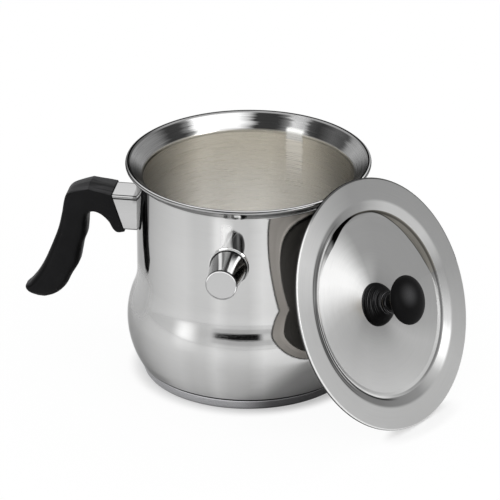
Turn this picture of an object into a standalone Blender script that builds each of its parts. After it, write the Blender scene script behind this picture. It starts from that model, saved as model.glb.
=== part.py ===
"""Whistling milk boiler: a double-walled pot, a filler whistle, one drooping handle and a lid.

Metres, +Z up. The origin is the centre of the pot's underside. The whistle looks along -Y and
the handle along -X. The lid is off: it stands on its edge and leans against the rim.
"""

import math

import bmesh
import bpy
from mathutils import Vector

# Sheet metal and fits
SHEET = 0.0008
SEAT_GAP = 0.0003
CUT_OVERRUN = 0.004

# How finely round pieces are divided
POT_STEPS = 40
SMALL_STEPS = 24
SMOOTH_ANGLE = math.radians(32)
SAME_POINT = 0.0001

# The shell's straight wall, which the rim, the belly and the milk pot follow
WALL_RADIUS = 0.0815
WALL_BEND = 0.0030

# Rim, flare and milk pot
FLARE_REACH = 0.0085
RIM_RADIUS = WALL_RADIUS + FLARE_REACH
RIM_HEIGHT = 0.1652
BEAD_RADIUS = 0.0017
BEAD_END_ANGLE = math.radians(-100)
FLARE_ANGLE = math.radians(45)
FLARE_BEND = 0.0040
JACKET_GAP = 0.0043
POT_RADIUS = WALL_RADIUS - JACKET_GAP
POT_CORNER = 0.0140
JACKET_DEPTH = 0.0070

# Outer shell's belly
BELLY_BULGE = 0.0078
BELLY_RADIUS = WALL_RADIUS + BELLY_BULGE
BELLY_HEIGHT = 0.0410
SHOULDER_ANGLE = math.radians(19)
SHOULDER_BEND = 0.0250
BELLY_UPPER_BEND = 0.0600
BELLY_LOWER_BEND = 0.0620
FOOT_ANGLE = math.radians(28.6)
FOOT_BEND = 0.0030

# Sandwich base
BASE_INSET = 0.0107
BASE_RADIUS = BELLY_RADIUS - BASE_INSET
BASE_HEIGHT = 0.0080
BASE_BEND = 0.0025

# Filler neck: its axis is level, and its lengths run out from the wall
FILLER_DROP = 0.0471
FILLER_HEIGHT = RIM_HEIGHT - FILLER_DROP
NECK_RADIUS = 0.0074
NECK_BORE = 0.0060
NECK_INNER_END = 0.0016
NECK_LENGTH = 0.0095
NECK_FLANGE_RADIUS = 0.0147
NECK_FLANGE_FACE = 0.0020

# Whistle: cap, stem, seal and its two discs
CAP_LENGTH = 0.0314
CAP_FRONT_RADIUS = 0.0115
CAP_BACK_RADIUS = 0.0133
CAP_FRONT_BEND = 0.0009
CAP_LIP_RADIUS = 0.0139
CAP_LIP_LENGTH = 0.0012
SOUND_HOLE_RADIUS = 0.0016
SOUND_HOLE_SETBACK = 0.0034
STEM_RADIUS = 0.0044
STEM_BORE = 0.0030
STEM_COLLAR_RADIUS = 0.0054
STEM_COLLAR_LENGTH = 0.0010
STEM_WEB_LENGTH = 0.0010
STEM_CUP_RADIUS = 0.0076
STEM_CUP_BORE = 0.0060
STEM_CUP_LENGTH = 0.0048
STEM_CUP_SETBACK = 0.0046
SEAL_LENGTH = 0.0066
SEAL_RIB_COUNT = 3
SEAL_RIB_DEPTH = 0.0005
DISC_THICKNESS = 0.0006
DISC_HOLE_RADIUS = 0.0010
DISC_LEDGE = 0.0007

# Handle bracket and ferrule
TONGUE_WIDTH = 0.0140
TONGUE_THICKNESS = 0.0040
TONGUE_DROP = 0.0407
TONGUE_HEIGHT = RIM_HEIGHT - TONGUE_DROP
TONGUE_LENGTH = 0.0315
SADDLE_THICKNESS = 0.0012
SADDLE_CLEARANCE = 0.0003
SADDLE_CORNER = 0.0040
FERRULE_RISE = 0.0085
FERRULE_DEPTH = 0.0260
FERRULE_TOP = TONGUE_HEIGHT + FERRULE_RISE
FERRULE_BOTTOM = FERRULE_TOP - FERRULE_DEPTH
FERRULE_WIDTH = 0.0272
FERRULE_CORNER = 0.0022

# Grip
GRIP_START = 0.0091
GRIP_RISE = 0.0120
GRIP_TOP = TONGUE_HEIGHT + GRIP_RISE
GRIP_REACH = 0.0745
GRIP_DROP = 0.0925
GRIP_WIDTH = 0.0284
GRIP_CORNER = 0.0070
SECTION_ARC_POINTS = 4

# Stations of the grip from the ferrule to the tail. Each row holds, as shares: outer side
# (reach, drop), inner side (reach, drop), width, and the corner radii of both sides.
GRIP_STATION_SHARES = (
    (0.128, 0.026, 0.002, 0.334, 1.000, 0.16, 0.36),
    (0.185, 0.020, 0.068, 0.345, 0.975, 0.16, 0.36),
    (0.228, 0.015, 0.109, 0.325, 0.945, 0.16, 0.43),
    (0.275, 0.009, 0.149, 0.271, 0.905, 0.16, 0.50),
    (0.364, 0.000, 0.216, 0.217, 0.845, 0.16, 0.57),
    (0.423, 0.016, 0.285, 0.194, 0.820, 0.18, 0.64),
    (0.497, 0.037, 0.342, 0.198, 0.795, 0.24, 0.71),
    (0.557, 0.056, 0.376, 0.226, 0.774, 0.34, 0.79),
    (0.595, 0.090, 0.389, 0.261, 0.760, 0.48, 0.86),
    (0.616, 0.146, 0.393, 0.299, 0.747, 0.64, 0.93),
    (0.642, 0.238, 0.397, 0.360, 0.739, 0.71, 1.00),
    (0.685, 0.368, 0.409, 0.429, 0.739, 0.79, 1.00),
    (0.736, 0.483, 0.442, 0.501, 0.739, 0.86, 1.00),
    (0.792, 0.595, 0.463, 0.585, 0.739, 0.93, 1.00),
    (0.854, 0.708, 0.489, 0.678, 0.739, 1.00, 1.00),
    (0.918, 0.801, 0.561, 0.782, 0.725, 1.00, 1.00),
    (0.983, 0.870, 0.612, 0.868, 0.690, 1.00, 1.00),
    (1.041, 0.920, 0.666, 0.924, 0.620, 0.93, 0.93),
    (1.019, 0.961, 0.732, 0.965, 0.514, 0.71, 0.71),
    (0.946, 0.989, 0.818, 0.996, 0.352, 0.43, 0.43),
)

# Handle screw, upright through the tongue
HANDLE_SCREW_REACH = 0.0235
HANDLE_SCREW_RADIUS = 0.0020
HANDLE_SCREW_HEAD_RADIUS = 0.0040
HANDLE_SCREW_HEAD_HEIGHT = 0.0022
HANDLE_SCREW_COVER = 0.0032
HANDLE_INSERT_RADIUS = 0.0034
HANDLE_INSERT_LENGTH = 0.0046

# Lid plate: depths run down from the top of its brim
LID_OVERHANG = 0.0021
LID_RADIUS = RIM_RADIUS + LID_OVERHANG
LID_LIP_DEPTH = 0.0020
LID_LIP_BEND = 0.0011
LID_BRIM_WIDTH = 0.0179
LID_FOLD_WIDTH = 0.0068
LID_WALL_WIDTH = 0.0014
LID_BRIM_RADIUS = LID_RADIUS - LID_BRIM_WIDTH
LID_FOLD_RADIUS = LID_BRIM_RADIUS - LID_FOLD_WIDTH
LID_FOLD_DEPTH = 0.0009
LID_WELL_RADIUS = LID_FOLD_RADIUS - LID_WALL_WIDTH
LID_WELL_FOOT_DEPTH = 0.0038
LID_WELL_BEND = 0.0012
LID_CENTRE_RADIUS = 0.0180
LID_CENTRE_DEPTH = 0.0070

# How the lid leans: which way its top faces round the pot, how far it is laid back, and its shift
LID_AZIMUTH = math.radians(62.5)
LID_LEAN = math.radians(23.1)
LID_SIDE_SHIFT = -0.0028

# Lid knob: heights run up from its foot
KNOB_FOOT_RADIUS = 0.0160
KNOB_FOOT_EDGE = 0.0010
KNOB_FOOT_HEIGHT = 0.0122
KNOB_FOOT_POWER = 1.6
KNOB_WAIST_RADIUS = 0.0074
KNOB_RING_RADIUS = 0.0083
KNOB_RING_HEIGHT = 0.0022
KNOB_NECK_RADIUS = 0.0066
KNOB_HEAD_RADIUS = 0.0181
KNOB_HEAD_HEIGHT = 0.0303
KNOB_HEAD_DOME = 0.0054
KNOB_HEAD_UNDERSIDE = 0.0060
KNOB_INSERT_RADIUS = 0.0040
KNOB_INSERT_LENGTH = 0.0100
KNOB_SCREW_RADIUS = 0.0020
KNOB_SCREW_REACH = 0.0088
KNOB_SCREW_HEAD_RADIUS = 0.0045
KNOB_SCREW_HEAD_HEIGHT = 0.0022
KNOB_WASHER_RADIUS = 0.0065
KNOB_WASHER_THICKNESS = 0.0010
SCREW_CLEARANCE = 0.0004
SLOT_WIDTH = 0.0010
SLOT_DEPTH = 0.0009

# Colours: red, green, blue, then roughness and metallic
POLISHED_STEEL = ("polished_steel", (0.72, 0.72, 0.72), 0.10, 1.0)
BRUSHED_STEEL = ("brushed_steel", (0.66, 0.66, 0.65), 0.32, 1.0)
PLAIN_STEEL = ("plain_steel", (0.55, 0.55, 0.55), 0.40, 1.0)
ALUMINIUM = ("aluminium", (0.75, 0.76, 0.77), 0.45, 1.0)
BRASS = ("brass", (0.72, 0.52, 0.22), 0.30, 1.0)
BLACK_MOULDING = ("black_moulding", (0.012, 0.012, 0.013), 0.38, 0.0)
SEAL_RUBBER = ("seal_rubber", (0.60, 0.59, 0.56), 0.60, 0.0)


def clear_scene():
    for obj in list(bpy.data.objects):
        bpy.data.objects.remove(obj, do_unlink=True)


def new_collection(name):
    collection = bpy.data.collections.new(name)
    bpy.context.scene.collection.children.link(collection)
    return collection


def paint(obj, finish):
    """Gives an object its own material."""
    kind, colour, roughness, metallic = finish
    material = bpy.data.materials.new(f"{obj.name}_{kind}")
    material.use_nodes = True
    shader = material.node_tree.nodes["Principled BSDF"]
    shader.inputs["Base Color"].default_value = (*colour, 1.0)
    shader.inputs["Roughness"].default_value = roughness
    shader.inputs["Metallic"].default_value = metallic
    obj.data.materials.clear()
    obj.data.materials.append(material)


def place(obj, collection, holder=None):
    collection.objects.link(obj)
    obj.parent = holder
    return obj


def holder_at(name, collection, location, rotation):
    """An empty that carries the pieces of one moving group."""
    empty = bpy.data.objects.new(name, None)
    empty.location = location
    empty.rotation_mode = "QUATERNION"
    empty.rotation_quaternion = rotation
    collection.objects.link(empty)
    return empty


def arc_points(centre, radius, start, end, count):
    """Points of a circular arc in the plane of a profile, both ends included."""
    points = []
    for i in range(count):
        angle = start + (end - start) * i / (count - 1)
        points.append(centre + radius * Vector((math.cos(angle), math.sin(angle))))
    return points


def rounded(corners):
    """A path through corners (x, y, radius, points): each radius turns its corner into an arc."""
    path = []
    for i, (x, y, radius, count) in enumerate(corners):
        here = Vector((x, y))
        if not radius:
            path.append(here)
            continue
        back = (Vector(corners[i - 1][:2]) - here).normalized()
        ahead = (Vector(corners[(i + 1) % len(corners)][:2]) - here).normalized()
        half = back.angle(ahead) / 2
        centre = here + (back + ahead).normalized() * (radius / math.sin(half))
        first = here + back * (radius / math.tan(half)) - centre
        last = here + ahead * (radius / math.tan(half)) - centre
        start = math.atan2(first.y, first.x)
        turn = (math.atan2(last.y, last.x) - start + math.pi) % math.tau - math.pi
        for point in arc_points(centre, radius, start, start + turn, count):
            if not path or (point - path[-1]).length > SAME_POINT:
                path.append(point)
    return path


def turned(name, path, steps, closed=False, thickness=0.0):
    """A profile turned about Z. With a thickness, the profile is the seen face of a sheet."""
    mesh = bpy.data.meshes.new(name)
    points = [(point[0], 0.0, point[1]) for point in path]
    edges = [(i, i + 1) for i in range(len(points) - 1)]
    if closed:
        edges.append((len(points) - 1, 0))
    mesh.from_pydata(points, edges, [])
    obj = bpy.data.objects.new(name, mesh)
    screw = obj.modifiers.new("turn", "SCREW")
    screw.axis = "Z"
    screw.steps = steps
    screw.render_steps = steps
    screw.use_merge_vertices = True
    screw.merge_threshold = 0.00001
    if thickness:
        sheet = obj.modifiers.new("sheet", "SOLIDIFY")
        sheet.thickness = thickness
        sheet.offset = -1.0
        sheet.use_even_offset = True
    return obj


def loft(name, rings):
    """A closed skin over rings of equally many points, with a flat face at each end."""
    made = bmesh.new()
    rows = [[made.verts.new(point) for point in ring] for ring in rings]
    for row, following in zip(rows, rows[1:]):
        for i in range(len(row)):
            j = (i + 1) % len(row)
            made.faces.new((row[i], row[j], following[j], following[i]))
    made.faces.new(reversed(rows[0]))
    made.faces.new(rows[-1])
    bmesh.ops.recalc_face_normals(made, faces=made.faces)
    mesh = bpy.data.meshes.new(name)
    made.to_mesh(mesh)
    made.free()
    return bpy.data.objects.new(name, mesh)


def box(name, low, high):
    """A box between two corners."""
    made = bmesh.new()
    bmesh.ops.create_cube(made, size=1.0)
    low, high = Vector(low), Vector(high)
    bmesh.ops.scale(made, vec=high - low, verts=made.verts)
    bmesh.ops.translate(made, vec=(low + high) / 2, verts=made.verts)
    mesh = bpy.data.meshes.new(name)
    made.to_mesh(mesh)
    made.free()
    return bpy.data.objects.new(name, mesh)


def rod(name, radius, bottom, top, steps=SMALL_STEPS):
    """A plain round bar about Z."""
    made = bmesh.new()
    bmesh.ops.create_cone(made, cap_ends=True, segments=steps, radius1=radius, radius2=radius,
                          depth=top - bottom)
    bmesh.ops.translate(made, vec=(0.0, 0.0, (top + bottom) / 2), verts=made.verts)
    mesh = bpy.data.meshes.new(name)
    made.to_mesh(mesh)
    made.free()
    return bpy.data.objects.new(name, mesh)


def boolean(obj, operation, cutter, cutters):
    """Adds a Boolean, and keeps the other shape out of the model."""
    if cutter.name not in cutters.objects:
        cutters.objects.link(cutter)
    cutter.hide_render = True
    cutter.display_type = "WIRE"
    step = obj.modifiers.new(cutter.name, "BOOLEAN")
    step.operation = operation
    step.solver = "EXACT"
    step.object = cutter


def settle(obj):
    """Makes the modifiers' result the object's own mesh, smooth but for its sharp edges."""
    graph = bpy.context.evaluated_depsgraph_get()
    mesh = bpy.data.meshes.new_from_object(obj.evaluated_get(graph))
    obj.modifiers.clear()
    obj.data = mesh
    mesh.shade_smooth()
    mesh.set_sharp_from_angle(angle=SMOOTH_ANGLE)


clear_scene()
boiler = new_collection("milk_boiler")
cutters = new_collection("cutters")
OUTWARD = Vector((0.0, -1.0, 0.0)).to_track_quat("Z", "Y")


# Sizes that follow from the rim
BEAD_CENTRE = Vector((RIM_RADIUS - BEAD_RADIUS, RIM_HEIGHT - BEAD_RADIUS))
FLARE_DOWN = Vector((math.sin(FLARE_ANGLE), -math.cos(FLARE_ANGLE)))
FLARE_START = BEAD_CENTRE - FLARE_DOWN * BEAD_RADIUS
SHELL_EDGE = BEAD_CENTRE + FLARE_DOWN * (2 * SHEET + SEAT_GAP - BEAD_RADIUS)
SHELL_FLOOR = BASE_HEIGHT + SEAT_GAP
POT_FLOOR = SHELL_FLOOR + SHEET + JACKET_DEPTH + SHEET


def shell_path():
    """The shell's outer face, from its edge inside the rolled rim down to the middle of its floor."""
    flare_foot = SHELL_EDGE.y - (SHELL_EDGE.x - WALL_RADIUS) * math.tan(FLARE_ANGLE)
    upper_corner = BELLY_HEIGHT + BELLY_UPPER_BEND * math.tan(SHOULDER_ANGLE / 2)
    lower_corner = BELLY_HEIGHT - BELLY_LOWER_BEND * math.tan(FOOT_ANGLE / 2)
    shoulder_top = upper_corner + (BELLY_RADIUS - WALL_RADIUS) / math.tan(SHOULDER_ANGLE)
    foot_radius = BELLY_RADIUS - (lower_corner - SHELL_FLOOR) * math.tan(FOOT_ANGLE)
    return rounded([
        (SHELL_EDGE.x, SHELL_EDGE.y, 0, 1),
        (WALL_RADIUS, flare_foot, WALL_BEND, 3),
        (WALL_RADIUS, shoulder_top, SHOULDER_BEND, 4),
        (BELLY_RADIUS, upper_corner, BELLY_UPPER_BEND, 4),
        (BELLY_RADIUS, lower_corner, BELLY_LOWER_BEND, 5),
        (foot_radius, SHELL_FLOOR, FOOT_BEND, 4),
        (0.0, SHELL_FLOOR, 0, 1),
    ])


def wall_cutter(name, allowance):
    """A plain cylinder as wide as the shell's wall, with the same flats."""
    return rod(name, WALL_RADIUS + allowance, SHELL_FLOOR, RIM_HEIGHT, POT_STEPS)


def make_outer_shell():
    shell = place(turned("outer_shell", shell_path(), POT_STEPS, thickness=SHEET), boiler)
    hole = rod("filler_hole", NECK_RADIUS + SEAT_GAP, 0.0, WALL_RADIUS + CUT_OVERRUN)
    hole.location = (0.0, 0.0, FILLER_HEIGHT)
    hole.rotation_mode = "QUATERNION"
    hole.rotation_quaternion = OUTWARD
    boolean(shell, "DIFFERENCE", hole, cutters)
    paint(shell, POLISHED_STEEL)


def make_inner_pot():
    """The milk pot: its flare ends in a bead that is rolled over the shell's edge."""
    neck_height = FLARE_START.y - (FLARE_START.x - POT_RADIUS) * math.tan(FLARE_ANGLE)
    path = rounded([
        (0.0, POT_FLOOR, 0, 1),
        (POT_RADIUS, POT_FLOOR, POT_CORNER, 5),
        (POT_RADIUS, neck_height, FLARE_BEND, 3),
        (FLARE_START.x, FLARE_START.y, 0, 1),
    ])
    bead_start = math.pi / 2 + FLARE_ANGLE
    path += arc_points(BEAD_CENTRE, BEAD_RADIUS, bead_start, BEAD_END_ANGLE, 8)[1:]
    pot = place(turned("inner_pot", path, POT_STEPS, thickness=SHEET), boiler)
    paint(pot, BRUSHED_STEEL)


def make_base():
    """An aluminium core between the shell's floor and a pressed steel cap."""
    cap_path = rounded([
        (BASE_RADIUS, BASE_HEIGHT, 0, 1),
        (BASE_RADIUS, 0.0, BASE_BEND, 4),
        (0.0, 0.0, 0, 1),
    ])
    cap = place(turned("base_cap", cap_path, POT_STEPS, thickness=SHEET), boiler)
    paint(cap, BRUSHED_STEEL)
    lining = SHEET + SEAT_GAP
    core_path = rounded([
        (0.0, BASE_HEIGHT, 0, 1),
        (BASE_RADIUS - lining, BASE_HEIGHT, 0, 1),
        (BASE_RADIUS - lining, lining, BASE_BEND - lining, 3),
        (0.0, lining, 0, 1),
    ])
    core = place(turned("base_core", core_path, POT_STEPS), boiler)
    paint(core, ALUMINIUM)


def make_filler_neck():
    """A bush through the shell's wall: its flange is saddled to the wall outside."""
    neck = rod("filler_neck", NECK_FLANGE_RADIUS, WALL_RADIUS - CUT_OVERRUN,
               WALL_RADIUS + NECK_FLANGE_FACE)
    tube = rod("neck_tube", NECK_RADIUS, WALL_RADIUS - NECK_INNER_END, WALL_RADIUS + NECK_LENGTH)
    bore = rod("neck_bore", NECK_BORE, WALL_RADIUS - CUT_OVERRUN,
               WALL_RADIUS + NECK_LENGTH + CUT_OVERRUN)
    for piece in (neck, tube, bore):
        piece.location = (0.0, 0.0, FILLER_HEIGHT)
        piece.rotation_mode = "QUATERNION"
        piece.rotation_quaternion = OUTWARD
    place(neck, boiler)
    boolean(neck, "DIFFERENCE", wall_cutter("neck_saddle", SEAT_GAP), cutters)
    boolean(neck, "UNION", tube, cutters)
    boolean(neck, "DIFFERENCE", bore, cutters)
    paint(neck, PLAIN_STEEL)


# Places along the whistle's axis, from the pot's axis outwards
CAP_BACK = WALL_RADIUS + NECK_FLANGE_FACE + SEAT_GAP
CAP_FRONT = CAP_BACK + CAP_LENGTH
CUP_MOUTH = CAP_FRONT - SHEET - STEM_CUP_SETBACK
CUP_FLOOR = CUP_MOUTH - STEM_CUP_LENGTH
WEB_BACK = CUP_FLOOR - STEM_WEB_LENGTH
SEAL_FRONT = WALL_RADIUS + NECK_LENGTH - SEAT_GAP
SEAL_BACK = SEAL_FRONT - SEAL_LENGTH


def cap_inner_radius(place_along):
    """The radius inside the cap's cone at a place along its axis."""
    cone_back = CAP_BACK + CAP_LIP_LENGTH
    share = (CAP_FRONT - place_along) / (CAP_FRONT - cone_back)
    return CAP_FRONT_RADIUS + (CAP_BACK_RADIUS - CAP_FRONT_RADIUS) * share - SHEET


def make_whistle(holder):
    lip_start = CAP_BACK + CAP_LIP_LENGTH
    cap_path = rounded([
        (0.0, CAP_FRONT, 0, 1),
        (CAP_FRONT_RADIUS, CAP_FRONT, CAP_FRONT_BEND, 3),
        (CAP_BACK_RADIUS, lip_start, 0, 1),
        (CAP_LIP_RADIUS, lip_start - (CAP_LIP_RADIUS - CAP_BACK_RADIUS), 0, 1),
        (CAP_LIP_RADIUS, CAP_BACK, 0, 1),
    ])
    cap = place(turned("whistle_cap", cap_path, SMALL_STEPS, thickness=SHEET), boiler, holder)
    hole = rod("sound_hole", SOUND_HOLE_RADIUS, STEM_CUP_RADIUS, CAP_BACK_RADIUS + CUT_OVERRUN)
    hole.location = (0.0, -CAP_FRONT + SOUND_HOLE_SETBACK, FILLER_HEIGHT)
    hole.rotation_euler = (math.pi, 0.0, 0.0)
    boolean(cap, "DIFFERENCE", hole, cutters)
    paint(cap, POLISHED_STEEL)

    web_radius = cap_inner_radius(CUP_FLOOR) - SEAT_GAP
    ledge_radius = STEM_CUP_BORE + DISC_LEDGE
    ledge_floor = CUP_MOUTH - DISC_THICKNESS - SEAT_GAP
    stem_path = [
        (STEM_CUP_RADIUS, CUP_MOUTH),
        (STEM_CUP_RADIUS, CUP_FLOOR),
        (web_radius, CUP_FLOOR),
        (web_radius, WEB_BACK),
        (STEM_COLLAR_RADIUS, WEB_BACK),
        (STEM_COLLAR_RADIUS, SEAL_FRONT + SEAT_GAP),
        (STEM_RADIUS, SEAL_FRONT + SEAT_GAP),
        (STEM_RADIUS, SEAL_BACK - SEAT_GAP),
        (STEM_COLLAR_RADIUS, SEAL_BACK - SEAT_GAP),
        (STEM_COLLAR_RADIUS, SEAL_BACK - SEAT_GAP - STEM_COLLAR_LENGTH),
        (STEM_BORE, SEAL_BACK - SEAT_GAP - STEM_COLLAR_LENGTH),
        (STEM_BORE, CUP_FLOOR),
        (STEM_CUP_BORE, CUP_FLOOR),
        (STEM_CUP_BORE, ledge_floor),
        (ledge_radius, ledge_floor),
        (ledge_radius, CUP_MOUTH),
    ]
    stem = place(turned("whistle_stem", stem_path, SMALL_STEPS, closed=True), boiler, holder)
    paint(stem, PLAIN_STEEL)

    seal = place(turned("whistle_seal", seal_path(), SMALL_STEPS, closed=True), boiler, holder)
    paint(seal, SEAL_RUBBER)

    disc_places = (
        ("whistle_disc_inner", STEM_CUP_BORE - SEAT_GAP, CUP_FLOOR + SEAT_GAP),
        ("whistle_disc_outer", ledge_radius - SEAT_GAP, ledge_floor + SEAT_GAP),
    )
    for name, radius, back in disc_places:
        disc_path = [
            (radius, back + DISC_THICKNESS),
            (radius, back),
            (DISC_HOLE_RADIUS, back),
            (DISC_HOLE_RADIUS, back + DISC_THICKNESS),
        ]
        disc = place(turned(name, disc_path, SMALL_STEPS, closed=True), boiler, holder)
        paint(disc, BRASS)


def seal_path():
    """A ribbed sleeve: full radius on each rib and a little less between them."""
    crest = NECK_BORE - SEAT_GAP
    pitch = SEAL_LENGTH / SEAL_RIB_COUNT
    path = []
    for rib in range(SEAL_RIB_COUNT):
        top = SEAL_FRONT - rib * pitch
        path.append((crest - SEAL_RIB_DEPTH, top))
        path.append((crest, top - pitch / 2))
    path.append((crest - SEAL_RIB_DEPTH, SEAL_BACK))
    path.append((STEM_RADIUS + SEAT_GAP, SEAL_BACK))
    path.append((STEM_RADIUS + SEAT_GAP, SEAL_FRONT))
    return path


def section(outer, inner, width, outer_corner, inner_corner, arc_count=SECTION_ARC_POINTS):
    """A ring of points: a rounded rectangle that spans from inner to outer and across Y."""
    up = (outer - inner).normalized()
    height = (outer - inner).length
    half = width / 2
    flat = rounded([
        (half, height, outer_corner, arc_count),
        (-half, height, outer_corner, arc_count),
        (-half, 0.0, inner_corner, arc_count),
        (half, 0.0, inner_corner, arc_count),
    ])
    return [
        Vector((inner.x + up.x * point.y, point.x, inner.y + up.y * point.y))
        for point in flat
    ]


def grip_point(reach_share, drop_share):
    """A place in the handle's plane, as (x, z)."""
    along = WALL_RADIUS + GRIP_START + reach_share * GRIP_REACH
    return Vector((-along, GRIP_TOP - drop_share * GRIP_DROP))


# Places of the handle's screw, from the axis and upwards
SCREW_X = -(WALL_RADIUS + HANDLE_SCREW_REACH)
POCKET_BOTTOM = TONGUE_HEIGHT - TONGUE_THICKNESS / 2 - SEAT_GAP
POCKET_TOP = TONGUE_HEIGHT + TONGUE_THICKNESS / 2 + SEAT_GAP
HEAD_TOP = POCKET_BOTTOM - HANDLE_SCREW_COVER
INSERT_TOP = POCKET_TOP + HANDLE_INSERT_LENGTH


def upright(piece):
    """Moves a turned piece onto the axis of the handle's screw."""
    piece.location = (SCREW_X, 0.0, 0.0)
    return piece


def make_grip():
    """The moulded grip, with a pocket for the tongue and a stepped hole for the screw."""
    rings = []
    for outer_reach, outer_drop, inner_reach, inner_drop, width, outer_bend, inner_bend in (
        GRIP_STATION_SHARES
    ):
        rings.append(section(
            grip_point(outer_reach, outer_drop),
            grip_point(inner_reach, inner_drop),
            width * GRIP_WIDTH,
            outer_bend * GRIP_CORNER,
            inner_bend * GRIP_CORNER,
        ))
    grip = place(loft("handle_grip", rings), boiler)
    pocket_end = WALL_RADIUS + TONGUE_LENGTH + SEAT_GAP
    half_width = TONGUE_WIDTH / 2 + SEAT_GAP
    pocket = box(
        "tongue_pocket",
        (-pocket_end, -half_width, POCKET_BOTTOM),
        (-WALL_RADIUS, half_width, POCKET_TOP),
    )
    boolean(grip, "DIFFERENCE", pocket, cutters)
    boolean(grip, "DIFFERENCE", upright(turned("screw_hole", [
        (0.0, INSERT_TOP + SEAT_GAP),
        (HANDLE_INSERT_RADIUS + SEAT_GAP, INSERT_TOP + SEAT_GAP),
        (HANDLE_INSERT_RADIUS + SEAT_GAP, TONGUE_HEIGHT),
        (HANDLE_SCREW_RADIUS + SCREW_CLEARANCE, TONGUE_HEIGHT),
        (HANDLE_SCREW_RADIUS + SCREW_CLEARANCE, HEAD_TOP + SEAT_GAP),
        (HANDLE_SCREW_HEAD_RADIUS + SCREW_CLEARANCE, HEAD_TOP + SEAT_GAP),
        (HANDLE_SCREW_HEAD_RADIUS + SCREW_CLEARANCE, GRIP_TOP - GRIP_DROP / 2),
        (0.0, GRIP_TOP - GRIP_DROP / 2),
    ], SMALL_STEPS)), cutters)
    paint(grip, BLACK_MOULDING)


def make_handle_fastening():
    """The screw from below through the tongue, and the brass insert that it bites into."""
    shank_top = INSERT_TOP - SEAT_GAP
    screw = rod("handle_screw", HANDLE_SCREW_RADIUS, HEAD_TOP - HANDLE_SCREW_HEAD_HEIGHT / 2,
                shank_top)
    head = rod("handle_screw_head", HANDLE_SCREW_HEAD_RADIUS,
               HEAD_TOP - HANDLE_SCREW_HEAD_HEIGHT, HEAD_TOP)
    slot_top = HEAD_TOP - HANDLE_SCREW_HEAD_HEIGHT + SLOT_DEPTH
    slot = box(
        "handle_screw_slot",
        (SCREW_X - HANDLE_SCREW_HEAD_RADIUS - CUT_OVERRUN, -SLOT_WIDTH / 2, slot_top - CUT_OVERRUN),
        (SCREW_X + HANDLE_SCREW_HEAD_RADIUS + CUT_OVERRUN, SLOT_WIDTH / 2, slot_top),
    )
    place(upright(screw), boiler)
    boolean(screw, "UNION", upright(head), cutters)
    boolean(screw, "DIFFERENCE", slot, cutters)
    paint(screw, PLAIN_STEEL)
    insert_path = [
        (HANDLE_INSERT_RADIUS, INSERT_TOP),
        (HANDLE_INSERT_RADIUS, POCKET_TOP + SEAT_GAP),
        (HANDLE_SCREW_RADIUS + SEAT_GAP, POCKET_TOP + SEAT_GAP),
        (HANDLE_SCREW_RADIUS + SEAT_GAP, INSERT_TOP),
    ]
    insert = turned("handle_insert", insert_path, SMALL_STEPS, closed=True)
    place(upright(insert), boiler)
    paint(insert, BRASS)


def ferrule_section(x_top, x_bottom, inset):
    """A ring of the ferrule: its outline, or its inside when inset by the sheet."""
    return section(
        Vector((x_top, FERRULE_TOP - inset)),
        Vector((x_bottom, FERRULE_BOTTOM + inset)),
        FERRULE_WIDTH - 2 * inset,
        FERRULE_CORNER - inset,
        FERRULE_CORNER - inset,
        3,
    )


def grip_face_x(height, gap):
    """Where the grip's slanted end face stands at a height, less a gap towards the pot."""
    top = grip_point(*GRIP_STATION_SHARES[0][:2])
    bottom = grip_point(*GRIP_STATION_SHARES[0][2:4])
    share = (height - bottom.y) / (top.y - bottom.y)
    return bottom.x + (top.x - bottom.x) * share + gap


def make_ferrule():
    """A steel sleeve over the bracket's tongue, saddled to the pot and cut to the grip's slant."""
    face_gap = SEAT_GAP / math.cos(math.atan2(
        grip_face_x(FERRULE_BOTTOM, 0.0) - grip_face_x(FERRULE_TOP, 0.0), FERRULE_TOP - FERRULE_BOTTOM))
    pot_end = -(WALL_RADIUS - CUT_OVERRUN)
    ferrule = place(loft("handle_ferrule", [
        ferrule_section(pot_end, pot_end, 0.0),
        ferrule_section(grip_face_x(FERRULE_TOP, face_gap), grip_face_x(FERRULE_BOTTOM, face_gap), 0.0),
    ]), boiler)
    hollow = loft("ferrule_hollow", [
        ferrule_section(pot_end + CUT_OVERRUN, pot_end + CUT_OVERRUN, SHEET),
        ferrule_section(-(WALL_RADIUS + GRIP_REACH), -(WALL_RADIUS + GRIP_REACH), SHEET),
    ])
    saddle = wall_cutter("ferrule_saddle", SEAT_GAP)
    boolean(ferrule, "DIFFERENCE", hollow, cutters)
    boolean(ferrule, "DIFFERENCE", saddle, cutters)
    paint(ferrule, POLISHED_STEEL)


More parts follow.
